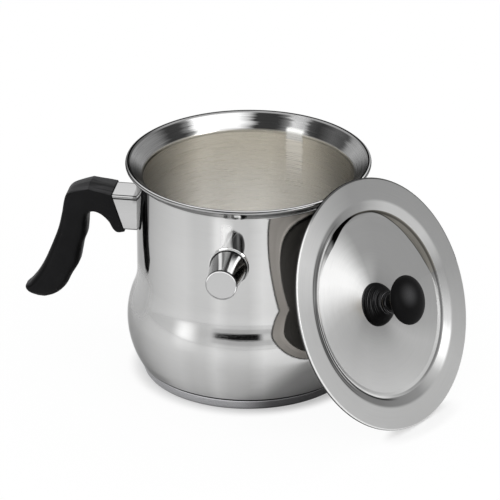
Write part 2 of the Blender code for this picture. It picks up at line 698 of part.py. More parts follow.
def make_bracket():
    """A saddle plate welded to the wall inside the ferrule, with a flat tongue into the grip."""
    inset = SHEET + SADDLE_CLEARANCE
    plate_half = FERRULE_WIDTH / 2 - inset
    plate_top = FERRULE_TOP - inset
    plate_bottom = FERRULE_BOTTOM + inset
    ring = []
    for place_x in (-(WALL_RADIUS - CUT_OVERRUN), -(WALL_RADIUS + CUT_OVERRUN)):
        ring.append(section(
            Vector((place_x, plate_top)),
            Vector((place_x, plate_bottom)),
            2 * plate_half,
            SADDLE_CORNER,
            SADDLE_CORNER,
            4,
        ))
    bracket = place(loft("handle_bracket", ring), boiler)
    outside = wall_cutter("bracket_outside", SADDLE_THICKNESS + SEAT_GAP)
    inside = wall_cutter("bracket_inside", SEAT_GAP)
    tongue = box(
        "bracket_tongue",
        (-(WALL_RADIUS + TONGUE_LENGTH), -TONGUE_WIDTH / 2, TONGUE_HEIGHT - TONGUE_THICKNESS / 2),
        (-(WALL_RADIUS + SADDLE_THICKNESS / 2), TONGUE_WIDTH / 2, TONGUE_HEIGHT + TONGUE_THICKNESS / 2),
    )
    screw_hole = upright(rod("bracket_hole", HANDLE_SCREW_RADIUS + SCREW_CLEARANCE,
                             POCKET_BOTTOM - CUT_OVERRUN, POCKET_TOP + CUT_OVERRUN))
    boolean(bracket, "INTERSECT", outside, cutters)
    boolean(bracket, "DIFFERENCE", inside, cutters)
    boolean(bracket, "UNION", tongue, cutters)
    boolean(bracket, "DIFFERENCE", screw_hole, cutters)
    paint(bracket, PLAIN_STEEL)


def lid_place():
    """Where the middle of the lid's brim lies when its edge stands on the table.

    Its brim rests on the rim, or its upper edge on the wall where the rim is out of its reach.
    """
    lid_axis = Vector((
        math.sin(LID_AZIMUTH) * math.cos(LID_LEAN),
        -math.cos(LID_AZIMUTH) * math.cos(LID_LEAN),
        math.sin(LID_LEAN),
    ))
    outward = Vector((math.sin(LID_AZIMUTH), -math.cos(LID_AZIMUTH), 0.0))
    sideways = Vector((math.cos(LID_AZIMUTH), math.sin(LID_AZIMUTH), 0.0))
    height = LID_RADIUS * math.cos(LID_LEAN) + LID_LIP_DEPTH * math.sin(LID_LEAN) + SEAT_GAP
    if height + LID_RADIUS * math.cos(LID_LEAN) > BEAD_CENTRE.y:
        bead = BEAD_CENTRE.x * math.cos(LID_LEAN) + BEAD_CENTRE.y * math.sin(LID_LEAN)
        brim = bead + BEAD_RADIUS + SEAT_GAP + SHEET
        reach = (brim - height * math.sin(LID_LEAN)) / math.cos(LID_LEAN)
    else:
        reach = WALL_RADIUS + SEAT_GAP + SHEET + LID_RADIUS * math.sin(LID_LEAN)
    middle = outward * reach + sideways * LID_SIDE_SHIFT + Vector((0.0, 0.0, height))
    return middle, lid_axis.to_track_quat("Z", "Y")


KNOB_FOOT = -LID_CENTRE_DEPTH + SEAT_GAP


def make_lid_plate(holder):
    """The pressed lid: flat brim, soft step, steep wall, and a shallow dish to the knob's seat."""
    path = rounded([
        (KNOB_SCREW_RADIUS + SCREW_CLEARANCE, -LID_CENTRE_DEPTH, 0, 1),
        (LID_CENTRE_RADIUS, -LID_CENTRE_DEPTH, 0, 1),
        (LID_WELL_RADIUS, -LID_WELL_FOOT_DEPTH, LID_WELL_BEND, 3),
        (LID_FOLD_RADIUS, -LID_FOLD_DEPTH, 0, 1),
        (LID_BRIM_RADIUS, 0.0, 0, 1),
        (LID_RADIUS, 0.0, LID_LIP_BEND, 4),
        (LID_RADIUS, -LID_LIP_DEPTH, 0, 1),
    ])
    plate = place(turned("lid_plate", path, POT_STEPS, thickness=SHEET), boiler, holder)
    paint(plate, BRUSHED_STEEL)


def knob_path():
    """The knob from the top of its head, over its ring and domed foot, to the hole below."""
    path = [(0.0, KNOB_HEAD_HEIGHT + KNOB_HEAD_DOME)]
    for i in range(1, 5):
        angle = math.pi / 2 * (1 - i / 4)
        path.append((KNOB_HEAD_RADIUS * math.cos(angle),
                     KNOB_HEAD_HEIGHT + KNOB_HEAD_DOME * math.sin(angle)))
    under_end = -math.acos(KNOB_NECK_RADIUS / KNOB_HEAD_RADIUS)
    for i in range(1, 5):
        angle = under_end * i / 4
        path.append((KNOB_HEAD_RADIUS * math.cos(angle),
                     KNOB_HEAD_HEIGHT + KNOB_HEAD_UNDERSIDE * math.sin(angle)))
    ring_top = KNOB_FOOT_HEIGHT + KNOB_RING_HEIGHT
    path.append((KNOB_NECK_RADIUS, ring_top))
    path.append((KNOB_RING_RADIUS, (ring_top + KNOB_FOOT_HEIGHT) / 2))
    path.append((KNOB_WAIST_RADIUS, KNOB_FOOT_HEIGHT))
    for i in range(1, 6):
        down = 1 - i / 5
        radius = KNOB_FOOT_RADIUS - (KNOB_FOOT_RADIUS - KNOB_WAIST_RADIUS) * down ** KNOB_FOOT_POWER
        path.append((radius, KNOB_FOOT_EDGE + (KNOB_FOOT_HEIGHT - KNOB_FOOT_EDGE) * down))
    path.append((KNOB_FOOT_RADIUS, 0.0))
    hole_radius = KNOB_INSERT_RADIUS + SEAT_GAP
    hole_top = KNOB_INSERT_LENGTH + SEAT_GAP
    path.append((hole_radius, 0.0))
    path.append((hole_radius, hole_top))
    path.append((0.0, hole_top))
    return [(radius, KNOB_FOOT + height) for radius, height in path]


def make_knob(holder):
    knob = place(turned("lid_knob", knob_path(), SMALL_STEPS), boiler, holder)
    paint(knob, BLACK_MOULDING)

    insert_bore = KNOB_SCREW_RADIUS + SEAT_GAP
    insert_path = [
        (KNOB_INSERT_RADIUS, KNOB_FOOT + KNOB_INSERT_LENGTH),
        (KNOB_INSERT_RADIUS, KNOB_FOOT),
        (insert_bore, KNOB_FOOT),
        (insert_bore, KNOB_FOOT + KNOB_INSERT_LENGTH),
    ]
    insert = place(turned("knob_insert", insert_path, SMALL_STEPS, closed=True), boiler, holder)
    paint(insert, BRASS)

    washer_top = -LID_CENTRE_DEPTH - SHEET - SEAT_GAP
    washer_bottom = washer_top - KNOB_WASHER_THICKNESS
    washer_bore = KNOB_SCREW_RADIUS + SCREW_CLEARANCE
    washer_path = [
        (KNOB_WASHER_RADIUS, washer_top),
        (KNOB_WASHER_RADIUS, washer_bottom),
        (washer_bore, washer_bottom),
        (washer_bore, washer_top),
    ]
    washer = place(turned("knob_washer", washer_path, SMALL_STEPS, closed=True), boiler, holder)
    paint(washer, PLAIN_STEEL)

    head_top = washer_bottom - SEAT_GAP
    head_bottom = head_top - KNOB_SCREW_HEAD_HEIGHT
    screw_path = [
        (0.0, KNOB_FOOT + KNOB_SCREW_REACH),
        (KNOB_SCREW_RADIUS, KNOB_FOOT + KNOB_SCREW_REACH),
        (KNOB_SCREW_RADIUS, head_top),
        (KNOB_SCREW_HEAD_RADIUS, head_top),
        (KNOB_SCREW_HEAD_RADIUS, head_bottom + KNOB_SCREW_HEAD_HEIGHT / 2),
        (KNOB_SCREW_HEAD_RADIUS - KNOB_SCREW_HEAD_HEIGHT / 2, head_bottom),
        (0.0, head_bottom),
    ]
    screw = place(turned("knob_screw", screw_path, SMALL_STEPS), boiler, holder)
    slot_reach = KNOB_SCREW_HEAD_RADIUS + CUT_OVERRUN
    slot = box(
        "knob_screw_slot",
        (-slot_reach, -SLOT_WIDTH / 2, head_bottom - CUT_OVERRUN),
        (slot_reach, SLOT_WIDTH / 2, head_bottom + SLOT_DEPTH),
    )
    slot.parent = holder
    boolean(screw, "DIFFERENCE", slot, cutters)
    paint(screw, PLAIN_STEEL)


make_outer_shell()
make_inner_pot()
make_base()
make_filler_neck()
whistle_axis = holder_at("whistle_axis", boiler, (0.0, 0.0, FILLER_HEIGHT), OUTWARD)
make_whistle(whistle_axis)
make_bracket()
make_ferrule()
make_grip()
make_handle_fastening()
lid_axis_holder = holder_at("lid_axis", boiler, *lid_place())
make_lid_plate(lid_axis_holder)
make_knob(lid_axis_holder)
bpy.context.view_layer.update()
for piece in boiler.objects:
    if piece.type == "MESH":
        settle(piece)
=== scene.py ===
"""The looks of the milk boiler: turned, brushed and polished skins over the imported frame."""

import math

import bmesh
import bpy
from mathutils import Matrix, Vector


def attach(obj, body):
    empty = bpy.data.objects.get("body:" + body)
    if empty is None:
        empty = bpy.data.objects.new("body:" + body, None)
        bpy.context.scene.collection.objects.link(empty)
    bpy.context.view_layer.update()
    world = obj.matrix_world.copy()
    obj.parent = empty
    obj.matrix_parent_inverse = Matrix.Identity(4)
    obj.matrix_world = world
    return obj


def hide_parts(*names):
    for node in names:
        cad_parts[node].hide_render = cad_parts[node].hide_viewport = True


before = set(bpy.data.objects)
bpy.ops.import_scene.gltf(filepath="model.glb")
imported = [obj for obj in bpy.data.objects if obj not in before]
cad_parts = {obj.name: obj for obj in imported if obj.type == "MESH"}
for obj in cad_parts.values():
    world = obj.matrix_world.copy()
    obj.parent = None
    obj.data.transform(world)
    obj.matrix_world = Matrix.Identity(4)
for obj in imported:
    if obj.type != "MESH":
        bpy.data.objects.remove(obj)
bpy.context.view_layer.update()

# Sheet metal, and the gap that a fit leaves
SHEET = 0.0008
GAP = 0.0003

# How finely round pieces are divided, and the limits for sharp edges and repeated points
ROUND = 192
SMALL_ROUND = 96
SHARP = math.radians(28)
SAME_POINT = 0.00002
ON_AXIS = 0.00001

# Polishing and brushing lines in a metre, and how softly a painted line ends
POLISH_LINES = 1800.0
BRUSH_LINES = 2600.0
LINE_SOFT = 0.0002

# Pot
RIM_RADIUS = 0.0900
RIM_HEIGHT = 0.1652
BEAD_RADIUS = 0.0017
BEAD_END_ANGLE = math.radians(-100)
FLARE_ANGLE = math.radians(45)
FLARE_BEND = 0.0040
POT_RADIUS = 0.0772
POT_CORNER = 0.0140
WALL_RADIUS = 0.0815
WALL_BEND = 0.0030
BELLY_RADIUS = 0.0893
BELLY_HEIGHT = 0.0410
SHOULDER_ANGLE = math.radians(20.9)
SHOULDER_BEND = 0.0480
BELLY_UPPER_BEND = 0.0570
BELLY_LOWER_BEND = 0.0620
FOOT_ANGLE = math.radians(28.6)
FOOT_BEND = 0.0030
BASE_RADIUS = 0.0786
BASE_HEIGHT = 0.0080
BASE_BEND = 0.0025
BEAD_CENTRE = Vector((RIM_RADIUS - BEAD_RADIUS, RIM_HEIGHT - BEAD_RADIUS))
FLARE_DOWN = Vector((math.sin(FLARE_ANGLE), -math.cos(FLARE_ANGLE)))
FLARE_TOP = BEAD_CENTRE - FLARE_DOWN * BEAD_RADIUS
SHELL_EDGE = BEAD_CENTRE + FLARE_DOWN * (2 * SHEET + GAP - BEAD_RADIUS)
SHELL_FLOOR = BASE_HEIGHT + GAP
POT_FLOOR = 0.0169

# Whistle and filler neck: lengths run out from the pot's axis
FILLER_HEIGHT = 0.1181
NECK_RADIUS = 0.0074
NECK_BORE = 0.0060
NECK_BACK = WALL_RADIUS - 0.0016
NECK_FRONT = WALL_RADIUS + 0.0095
FLANGE_RADIUS = 0.0147
FLANGE_FRONT = WALL_RADIUS + 0.0020
FLAT_HALF_HEIGHT = 0.0105
CAP_BACK = 0.0838
CAP_FRONT = 0.1152
SOUND_HOLE_RADIUS = 0.0016
SOUND_HOLE_SETBACK = 0.0034
SOUND_HOLE_START = 0.0080

# Handle
FERRULE_TOP = 0.1345
FERRULE_BOTTOM = 0.1073
FERRULE_WIDTH = 0.0258
FERRULE_CORNER = 0.0016
FERRULE_GRIP_GAP = 0.0004
GRIP_START = 0.0906
GRIP_TOP = 0.1365
GRIP_REACH = 0.0745
GRIP_DROP = 0.0925
GRIP_WIDTH = 0.0284
GRIP_CORNER = 0.0070

# Lid: where it leans, and its profile
LID_RADIUS = 0.0921
LID_LIP_DEPTH = 0.0020
LID_AZIMUTH = math.radians(62.5)
LID_LEAN = math.radians(23.1)
LID_SIDE_SHIFT = -0.0028
LID_OUTWARD = Vector((math.sin(LID_AZIMUTH), -math.cos(LID_AZIMUTH), 0.0))
LID_SIDEWAYS = Vector((math.cos(LID_AZIMUTH), math.sin(LID_AZIMUTH), 0.0))
LID_CENTRE_DEPTH = 0.0070

# Knob: heights run up from its foot
KNOB_FOOT = -LID_CENTRE_DEPTH + GAP
KNOB_FOOT_RADIUS = 0.0160
KNOB_FOOT_EDGE = 0.0010
KNOB_FOOT_HEIGHT = 0.0122
KNOB_FOOT_POWER = 1.6
KNOB_WAIST_RADIUS = 0.0074
KNOB_RING_RADIUS = 0.0083
KNOB_RING_HEIGHT = 0.0022
KNOB_NECK_RADIUS = 0.0066
KNOB_HEAD_RADIUS = 0.0181
KNOB_HEAD_HEIGHT = 0.0303
KNOB_HEAD_DOME = 0.0054
KNOB_HEAD_UNDERSIDE = 0.0060
KNOB_HOLE_RADIUS = 0.0043
KNOB_HOLE_HEIGHT = 0.0103

# Camera, found from the outlines of the rim, the base and the lid
CAMERA_DISTANCE = 4.0
CAMERA_ELEVATION = math.radians(25.66)
CAMERA_AZIMUTH = math.radians(10.0)
CAMERA_ROLL = math.radians(-0.31)
CAMERA_AIM = Vector((0.00084, 0.0, 0.0919))
CAMERA_LENS = 391.25

# Hidden pieces of metal: material, colour and roughness
BRASS = (0.72, 0.52, 0.22)
PLAIN_METALS = {
    "base_core": ("core_aluminium", (0.75, 0.76, 0.77), 0.42),
    "whistle_stem": ("stem_steel", (0.58, 0.58, 0.58), 0.30),
    "whistle_disc_inner": ("inner_disc_brass", BRASS, 0.28),
    "whistle_disc_outer": ("outer_disc_brass", BRASS, 0.28),
    "handle_bracket": ("bracket_steel", (0.56, 0.56, 0.56), 0.36),
    "handle_screw": ("handle_screw_steel", (0.60, 0.60, 0.60), 0.25),
    "handle_insert": ("handle_insert_brass", BRASS, 0.28),
    "knob_insert": ("knob_insert_brass", BRASS, 0.28),
    "knob_washer": ("washer_steel", (0.60, 0.60, 0.60), 0.30),
    "knob_screw": ("knob_screw_steel", (0.62, 0.62, 0.62), 0.25),
}

# Lamps: name, place, the point that it faces, its two sides, and its power
LAMPS = (
    ("key_light", (-1.1, -0.9, 1.7), (0.0, 0.0, 0.08), (0.9, 0.9), 5.0),
    ("lid_light", (1.50, -0.86, 0.90), (0.109, -0.06, 0.086), (0.7, 0.7), 7.0),
    ("back_light", (0.2, 1.6, 1.5), (0.0, 0.0, 0.10), (1.2, 0.6), 3.0),
)


# Nodes

class Value:
    """What one socket gives. Signs between values add Math nodes."""

    def __init__(self, finish, socket):
        self.finish = finish
        self.socket = socket

    def other(self, name):
        """Another output of the same node."""
        return Value(self.finish, find_socket(self.socket.node.outputs, name))

    def math(self, operation, other=0.0, clamp=False):
        values = {"Value": self, "Value_001": other}
        return self.finish.node("Math", values, operation=operation, use_clamp=clamp)

    def __add__(self, other):
        return self.math("ADD", other)

    __radd__ = __add__

    def __sub__(self, other):
        return self.math("SUBTRACT", other)

    def __rsub__(self, other):
        return (self * -1.0) + other

    def __mul__(self, other):
        return self.math("MULTIPLY", other)

    __rmul__ = __mul__

    def __truediv__(self, other):
        return self.math("DIVIDE", other)

    def __pow__(self, other):
        return self.math("POWER", other)

    def __abs__(self):
        return self.math("ABSOLUTE")

    def clamped(self):
        return self.math("ADD", clamp=True)

    def toward(self, target, share):
        """Moved a share of the way to a target."""
        return self + (target - self) * share

    def dimmed(self, *masks):
        """Darker by each (mask, strength). A strength below 0 makes it lighter."""
        shade = self
        for mask, strength in masks:
            shade = shade * (1.0 - mask * strength)
        return shade

    def step(self, low, high):
        """Rises softly from 0 at low to 1 at high."""
        values = {"Value": self, "From Min": low, "From Max": high}
        return self.finish.node("MapRange", values, interpolation_type="SMOOTHSTEP")

    def band(self, low, high, soft):
        """1 between low and high, with soft ends."""
        return self.step(low - soft, low + soft) - self.step(high - soft, high + soft)


def find_socket(sockets, name):
    for socket in sockets:
        if name == socket.identifier:
            return socket
    return sockets[name]


def fill_ramp(ramp, stops):
    """Sets a ramp's stops from (place, shade)."""
    while len(ramp.elements) > 1:
        ramp.elements.remove(ramp.elements[-1])
    for index, (place, shade) in enumerate(stops):
        stop = ramp.elements[0] if index == 0 else ramp.elements.new(place)
        stop.position = place
        stop.color = (shade, shade, shade, 1.0)


class Finish:
    """The nodes of one material, or of the world."""

    def __init__(self, tree):
        self.tree = tree

    def fill(self, socket, value):
        """Links a Value to a socket, or sets a number or a colour on it."""
        if isinstance(value, Value):
            self.tree.links.new(value.socket, socket)
        elif isinstance(value, tuple):
            socket.default_value = (*value, 1.0)
        else:
            socket.default_value = value

    def node(self, kind, values, **settings):
        """Adds a node: its settings first, then what its sockets are given."""
        made = self.tree.nodes.new("ShaderNode" + kind)
        for name, setting in settings.items():
            if name == "stops":
                fill_ramp(made.color_ramp, setting)
            else:
                setattr(made, name, setting)
        for name, value in values.items():
            self.fill(find_socket(made.inputs, name), value)
        return Value(self, made.outputs[0])

    def mix(self, share, first, second, blend="MIX"):
        """Two colours mixed."""
        values = {"Factor_Float": share, "A_Color": first, "B_Color": second}
        return self.node("Mix", values, data_type="RGBA", blend_type=blend).other("Result_Color")

    def vector(self, x, y, z):
        return self.node("CombineXYZ", {"X": x, "Y": y, "Z": z})

    def parts(self, vector):
        x = self.node("SeparateXYZ", {"Vector": vector})
        return x, x.other("Y"), x.other("Z")

    def noise(self, place, scale, detail=2.0, rough=0.5):
        values = {"Vector": place, "Scale": scale, "Detail": detail, "Roughness": rough}
        return self.node("TexNoise", values)

    def grey(self, stops, value):
        """A shade read from a ramp."""
        return self.node("ValToRGB", {"Fac": value}, stops=stops)

    def dial(self, stops, turn):
        """A shade that changes round the axis, from stops of degrees: shade."""
        return self.grey([(degrees / 360.0, shade) for degrees, shade in stops.items()], turn)


class Surface(Finish):
    """A material with one Principled shader."""

    def __init__(self, name):
        material = bpy.data.materials.new(name)
        material.use_nodes = True
        super().__init__(material.node_tree)
        self.material = material
        self.shader = material.node_tree.nodes["Principled BSDF"]

    def give(self, **values):
        """The material, once the shader's sockets are set. A _ in a name stands for a space."""
        for name, value in values.items():
            self.fill(self.shader.inputs[name.replace("_", " ")], value)
        return self.material

    def bump(self, height, strength, distance):
        return self.node("Bump", {"Height": height, "Strength": strength, "Distance": distance})

    def place(self):
        """The point on the piece, in its own axes, and its three parts."""
        point = self.node("TexCoord", {}).other("Object")
        return (point, *self.parts(point))

    def round_place(self):
        """The parts of the point, its distance from the piece's own axis, and its turn from 0 to 1."""
        _, x, y, z = self.place()
        radius = (x * x + y * y) ** 0.5
        turn = (y.math("ARCTAN2", x) / math.tau + 1.0).math("FRACT")
        return x, y, z, radius, turn

    def worked_round(self, lines, relief, distance=0.0004, **values):
        """Metal worked round its axis: its lines stand out a little and spread its shine."""
        values.setdefault("Metallic", 1.0)
        return self.give(Anisotropic_Rotation=0.25, Normal=self.bump(lines, relief, distance), **values)

    def turned_lines(self, count_per_metre, features=3.0):
        """Fine lines that run round the axis, each a little uneven along its length."""
        x, y, z, radius, _ = self.round_place()
        place = self.vector(
            x / radius * features + radius * count_per_metre,
            y / radius * features - z * count_per_metre,
            z * count_per_metre,
        )
        return self.noise(place, 1.0, 3.0, 0.6)


# Shapes

def arc_points(centre, radius, start, end, count):
    """Points of a circular arc, both ends included."""
    points = []
    for i in range(count):
        angle = start + (end - start) * i / (count - 1)
        points.append(centre + radius * Vector((math.cos(angle), math.sin(angle))))
    return points


def rounded(corners):
    """A path through corners (x, y). A radius and a number of points after them make an arc."""
    path = []
    for i, (x, y, *bend) in enumerate(corners):
        here = Vector((x, y))
        arc = [here]
        if bend:
            radius, count = bend
            back = (Vector(corners[i - 1][:2]) - here).normalized()
            ahead = (Vector(corners[(i + 1) % len(corners)][:2]) - here).normalized()
            half = back.angle(ahead) / 2
            centre = here + (back + ahead).normalized() * (radius / math.sin(half))
            first = here + back * (radius / math.tan(half)) - centre
            last = here + ahead * (radius / math.tan(half)) - centre
            start = math.atan2(first.y, first.x)
            turn = (math.atan2(last.y, last.x) - start + math.pi) % math.tau - math.pi
            arc = arc_points(centre, radius, start, start + turn, count)
        for point in arc:
            if not path or (point - path[-1]).length > SAME_POINT:
                path.append(point)
    return path


def mesh_of(name, made):
    """The mesh of a finished bmesh, which is freed."""
    mesh = bpy.data.meshes.new(name)
    made.to_mesh(mesh)
    made.free()
    return mesh


def new_piece(name, mesh, material):
    obj = bpy.data.objects.new(name, mesh)
    bpy.context.scene.collection.objects.link(obj)
    mesh.materials.append(material)
    return obj


def smooth(mesh):
    mesh.shade_smooth()
    mesh.set_sharp_from_angle(angle=SHARP)


def skin(made, rows, closed=False):
    """Faces between rows of equally many vertices. They are triangles where a row is one point."""
    pairs = list(zip(rows, rows[1:]))
    if closed:
        pairs.append((rows[-1], rows[0]))
    for row, following in pairs:
        for i in range(len(row)):
            j = (i + 1) % len(row)
            ring = []
            for vertex in (row[i], row[j], following[j], following[i]):
                if vertex not in ring:
                    ring.append(vertex)
            if len(ring) > 2:
                made.faces.new(ring)


def turned(name, path, steps, material, thickness=0.0, back=None):
    """A profile turned about Z. A thickness makes it a sheet, which can have its own finish behind.

    The sheet lies behind the seen face, but for the shell's, which lies outside its profile.
    """
    made = bmesh.new()
    rows = []
    for radius, height in path:
        if radius < ON_AXIS:
            rows.append([made.verts.new((0.0, 0.0, height))] * steps)
            continue
        row = []
        for i in range(steps):
            angle = math.tau * i / steps
            row.append(made.verts.new((radius * math.cos(angle), radius * math.sin(angle), height)))
        rows.append(row)
    skin(made, rows)
    bmesh.ops.recalc_face_normals(made, faces=made.faces)
    mesh = mesh_of(name, made)
    obj = new_piece(name, mesh, material)
    if thickness:
        sheet = obj.modifiers.new("sheet", "SOLIDIFY")
        sheet.thickness = thickness
        sheet.offset = -1.0
        sheet.use_even_offset = True
        if back:
            mesh.materials.append(back)
            sheet.material_offset = 1
        apply_modifiers(obj)
    smooth(obj.data)
    return obj


def lofted(name, rings, material, closed=False):
    """A skin over rings of equally many points. Its ends are filled unless it closes on itself."""
    made = bmesh.new()
    rows = [[made.verts.new(point) for point in ring] for ring in rings]
    skin(made, rows, closed)
    if not closed:
        made.faces.new(reversed(rows[0]))
        made.faces.new(rows[-1])
    bmesh.ops.recalc_face_normals(made, faces=made.faces)
    mesh = mesh_of(name, made)
    smooth(mesh)
    return new_piece(name, mesh, material)


def apply_modifiers(obj):
    graph = bpy.context.evaluated_depsgraph_get()
    obj.data = bpy.data.meshes.new_from_object(obj.evaluated_get(graph))
    obj.modifiers.clear()


def drilled(obj, radius, start, direction, length):
    """Cuts a round hole along a direction in the piece's own axes."""
    made = bmesh.new()
    bmesh.ops.create_cone(made, cap_ends=True, segments=48, radius1=radius, radius2=radius, depth=length)
    turn = Vector(direction).to_track_quat("Z", "Y").to_matrix().to_4x4()
    centre = Vector(start) + Vector(direction).normalized() * (length / 2)
    bmesh.ops.transform(made, matrix=Matrix.Translation(centre) @ turn, verts=made.verts)
    drill = bpy.data.objects.new("drill", mesh_of("drill", made))
    bpy.context.scene.collection.objects.link(drill)
    drill.matrix_world = obj.matrix_world
    cut = obj.modifiers.new("hole", "BOOLEAN")
    cut.operation = "DIFFERENCE"
    cut.solver = "EXACT"
    cut.object = drill
    bpy.context.view_layer.update()
    apply_modifiers(obj)
    bpy.data.objects.remove(drill)
    smooth(obj.data)


def seat(obj, body, *nodes, slot):
    """Ties a finished piece to its body and lets it stand for its CAD nodes."""
    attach(obj, body)
    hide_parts(*nodes)


# Finishes of the pieces that keep the shape of their solids

def plain_metal(name, colour, rough):
    """A part that isn't polished: even colour with faint marks from the machine."""
    finish = Surface(name)
    point = finish.place()[0]
    marks = finish.noise(point, 900.0, 3.0, 0.6)
    stain = finish.noise(point, 60.0)
    share = marks * 0.5 + stain * 0.5
    darker = tuple(part * 0.82 for part in colour)
    return finish.give(
        Base_Color=finish.mix(share, darker, colour),
        Metallic=1.0,
        Roughness=rough + (marks - 0.5) * 0.15,
        Normal=finish.bump(marks, 0.08, 0.0002),
    )


def pale_silicone():
    finish = Surface("seal_silicone")
    point = finish.place()[0]
    grain = finish.noise(point, 1200.0)
    cloud = finish.noise(point, 120.0)
    return finish.give(
        Base_Color=finish.mix(cloud, (0.52, 0.51, 0.47), (0.64, 0.63, 0.59)),
        Roughness=0.6 + (grain - 0.5) * 0.1,
        Normal=finish.bump(grain, 0.06, 0.0002),
    )


# Pot

def shell_finish():
    """Mirror polish in painted bands of lighter and darker reflection, with a painted dark line of shade
    in the seam above the foot.

    Painted on it are the shades by the lid, handle and foot, a stripe, a haze, a glow, a bloom, and
    the whistle's dark image with the lights round it and under the rim.
    """
    finish = Surface("shell_polish")
    _, _, z, _, turn = finish.round_place()
    lines = finish.turned_lines(POLISH_LINES)
    broad = finish.turned_lines(140.0, 2.0)
    # Painted reflections: bands of lighter and darker shade round the axis, a little uneven.
    bands = finish.dial({
        0: 0.55, 20: 0.63, 45: 0.55, 75: 0.64, 105: 0.55, 130: 0.63, 160: 0.57, 190: 0.52, 206: 0.46,
        216: 0.43, 224: 0.48, 232: 0.52, 240: 0.57, 246: 0.585, 252: 0.535, 259: 0.545, 264: 0.64,
        270: 0.55, 280: 0.53, 287: 0.66, 294: 0.62, 305: 0.58, 335: 0.61, 360: 0.55,
    }, turn + (broad - 0.5) * 0.01)
    # Painted light and shade round the lowest part of the flare, under the rim.
    flare_light = finish.dial({
        0: 1.0, 190: 0.8, 205: 0.15, 232: 0.15, 246: 0.70, 256: 1.25, 276: 1.0, 288: 0.48, 320: 0.40,
        345: 0.9, 360: 1.0,
    }, turn)
    on_flare = z.step(0.1579, 0.1590)
    # Painted shade: the shell goes near black below this height, in the seam above the foot.
    seam = z.step(0.0096, 0.0103)
    # Masks of painted shade: low on the left, on the belly's side, under the lid and in the tuck above
    # the foot. The glow and the bloom are painted light, the stripe a painted dark reflection beside the
    # handle's mirror image, and the haze a matt patch over a reflection.
    low = 1.0 - z.step(0.010, 0.040)
    left = turn.band(0.46, 0.60, 0.04)
    belly_side = turn.band(0.48, 0.56, 0.02) * (1.0 - z.step(0.045, 0.072))
    haze = turn.band(0.545, 0.606, 0.018) * z.band(0.056, 0.0860, 0.008)
    under_lid = (turn - (z - 0.012) * 2.4).band(0.783, 0.93, 0.030) * (1.0 - z.step(0.030, 0.046))
    glow = turn.band(0.729, 0.752, 0.008) * z.band(0.124, 0.156, 0.008)
    stripe = (turn + (0.155 - z) * 0.09).band(0.5985, 0.6085, 0.0022) * z.step(0.114, 0.130)
    bloom = turn.band(0.671, 0.704, 0.009) * z.band(0.050, 0.066, 0.005)
    tuck = turn.band(0.585, 0.655, 0.012) * z.band(0.011, 0.0165, 0.002)
    # Painted reflection of the whistle's cap above it: a dark patch with a pale streak and a dark edge,
    # with painted light beside it and painted light and shade just under the rim.
    across = (turn - 0.7635) / 0.0088
    up = (z - 0.1350) / 0.0100
    cap_image = 1.0 - (across * across + up * up).step(0.75, 1.15)
    cap_streak = turn.band(0.7612, 0.7645, 0.0010)
    cap_edge = turn.band(0.7662, 0.7695, 0.0008) * z.band(0.128, 0.142, 0.002)
    cap_light = turn.band(0.7400, 0.7540, 0.0030) * z.band(0.127, 0.150, 0.004)
    near_rim = z.band(0.1578, 0.1640, 0.0004)
    rim_light = turn.band(0.7582, 0.7672, 0.0008) * near_rim
    rim_dark = turn.band(0.7678, 0.7755, 0.0008) * near_rim
    # Painted highlights are made pale and less metallic so that they read white.
    white = (cap_light - cap_image).clamped() * 0.8 + rim_light
    # The painted shades and lights over the bands, a little darker towards the top.
    shade = (bands + (lines - 0.5) * 0.05).dimmed(
        (z.step(0.110, 0.150), 0.06), (low * left, 0.30), (under_lid, 0.42), (belly_side, 0.22),
        (glow, -0.24), (bloom, -0.20), (stripe, 0.80), (tuck, 0.20),
    )
    shade = shade * (1.0 + (flare_light - 1.0) * on_flare)
    shade = shade.toward(0.055 + cap_streak * 0.07, cap_image)
    shade = shade.dimmed((rim_dark, 0.90), (cap_edge, 0.92), ((low - under_lid).clamped(), -0.07))
    shade = (shade * (0.03 + seam * 0.97)).toward(0.98, white)
    return finish.worked_round(
        lines, 0.03,
        Base_Color=finish.vector(shade, shade, shade * 0.995),
        Metallic=1.0 - haze * 0.97 - white * 0.70 - cap_image * 0.75 - rim_light * 0.25,
        Roughness=0.045 + abs(lines - 0.5) * 0.06 + haze * 0.4,
        Specular_Tint=(0.62, 0.62, 0.62),
        Anisotropic=0.4,
    )


def shell_path():
    """The shell's profile, from its edge inside the rolled rim down to the middle of its floor."""
    flare_foot = SHELL_EDGE.y - (SHELL_EDGE.x - WALL_RADIUS) * math.tan(FLARE_ANGLE)
    upper_corner = BELLY_HEIGHT + BELLY_UPPER_BEND * math.tan(SHOULDER_ANGLE / 2)
    lower_corner = BELLY_HEIGHT - BELLY_LOWER_BEND * math.tan(FOOT_ANGLE / 2)
    shoulder_top = upper_corner + (BELLY_RADIUS - WALL_RADIUS) / math.tan(SHOULDER_ANGLE)
    foot_radius = BELLY_RADIUS - (lower_corner - SHELL_FLOOR) * math.tan(FOOT_ANGLE)
    return rounded([
        SHELL_EDGE,
        (WALL_RADIUS, flare_foot, WALL_BEND, 8),
        (WALL_RADIUS, FILLER_HEIGHT + FLAT_HALF_HEIGHT),
        (WALL_RADIUS, FILLER_HEIGHT - FLAT_HALF_HEIGHT),
        (WALL_RADIUS, shoulder_top, SHOULDER_BEND, 16),
        (BELLY_RADIUS, upper_corner, BELLY_UPPER_BEND, 18),
        (BELLY_RADIUS, lower_corner, BELLY_LOWER_BEND, 20),
        (foot_radius, SHELL_FLOOR, FOOT_BEND, 8),
        (0.0, SHELL_FLOOR),
    ])


def make_shell():
    """The shell with its filler hole. It stands 0.8 mm outside its solid, as its sheet lies outwards."""
    shell = turned("pot_shell", shell_path(), ROUND, shell_finish(), SHEET)
    drilled(shell, NECK_RADIUS + GAP, (0.0, 0.0, FILLER_HEIGHT), (0.0, -1.0, 0.0), 0.09)
    seat(shell, "pot", "outer_shell", slot="polished_steel")


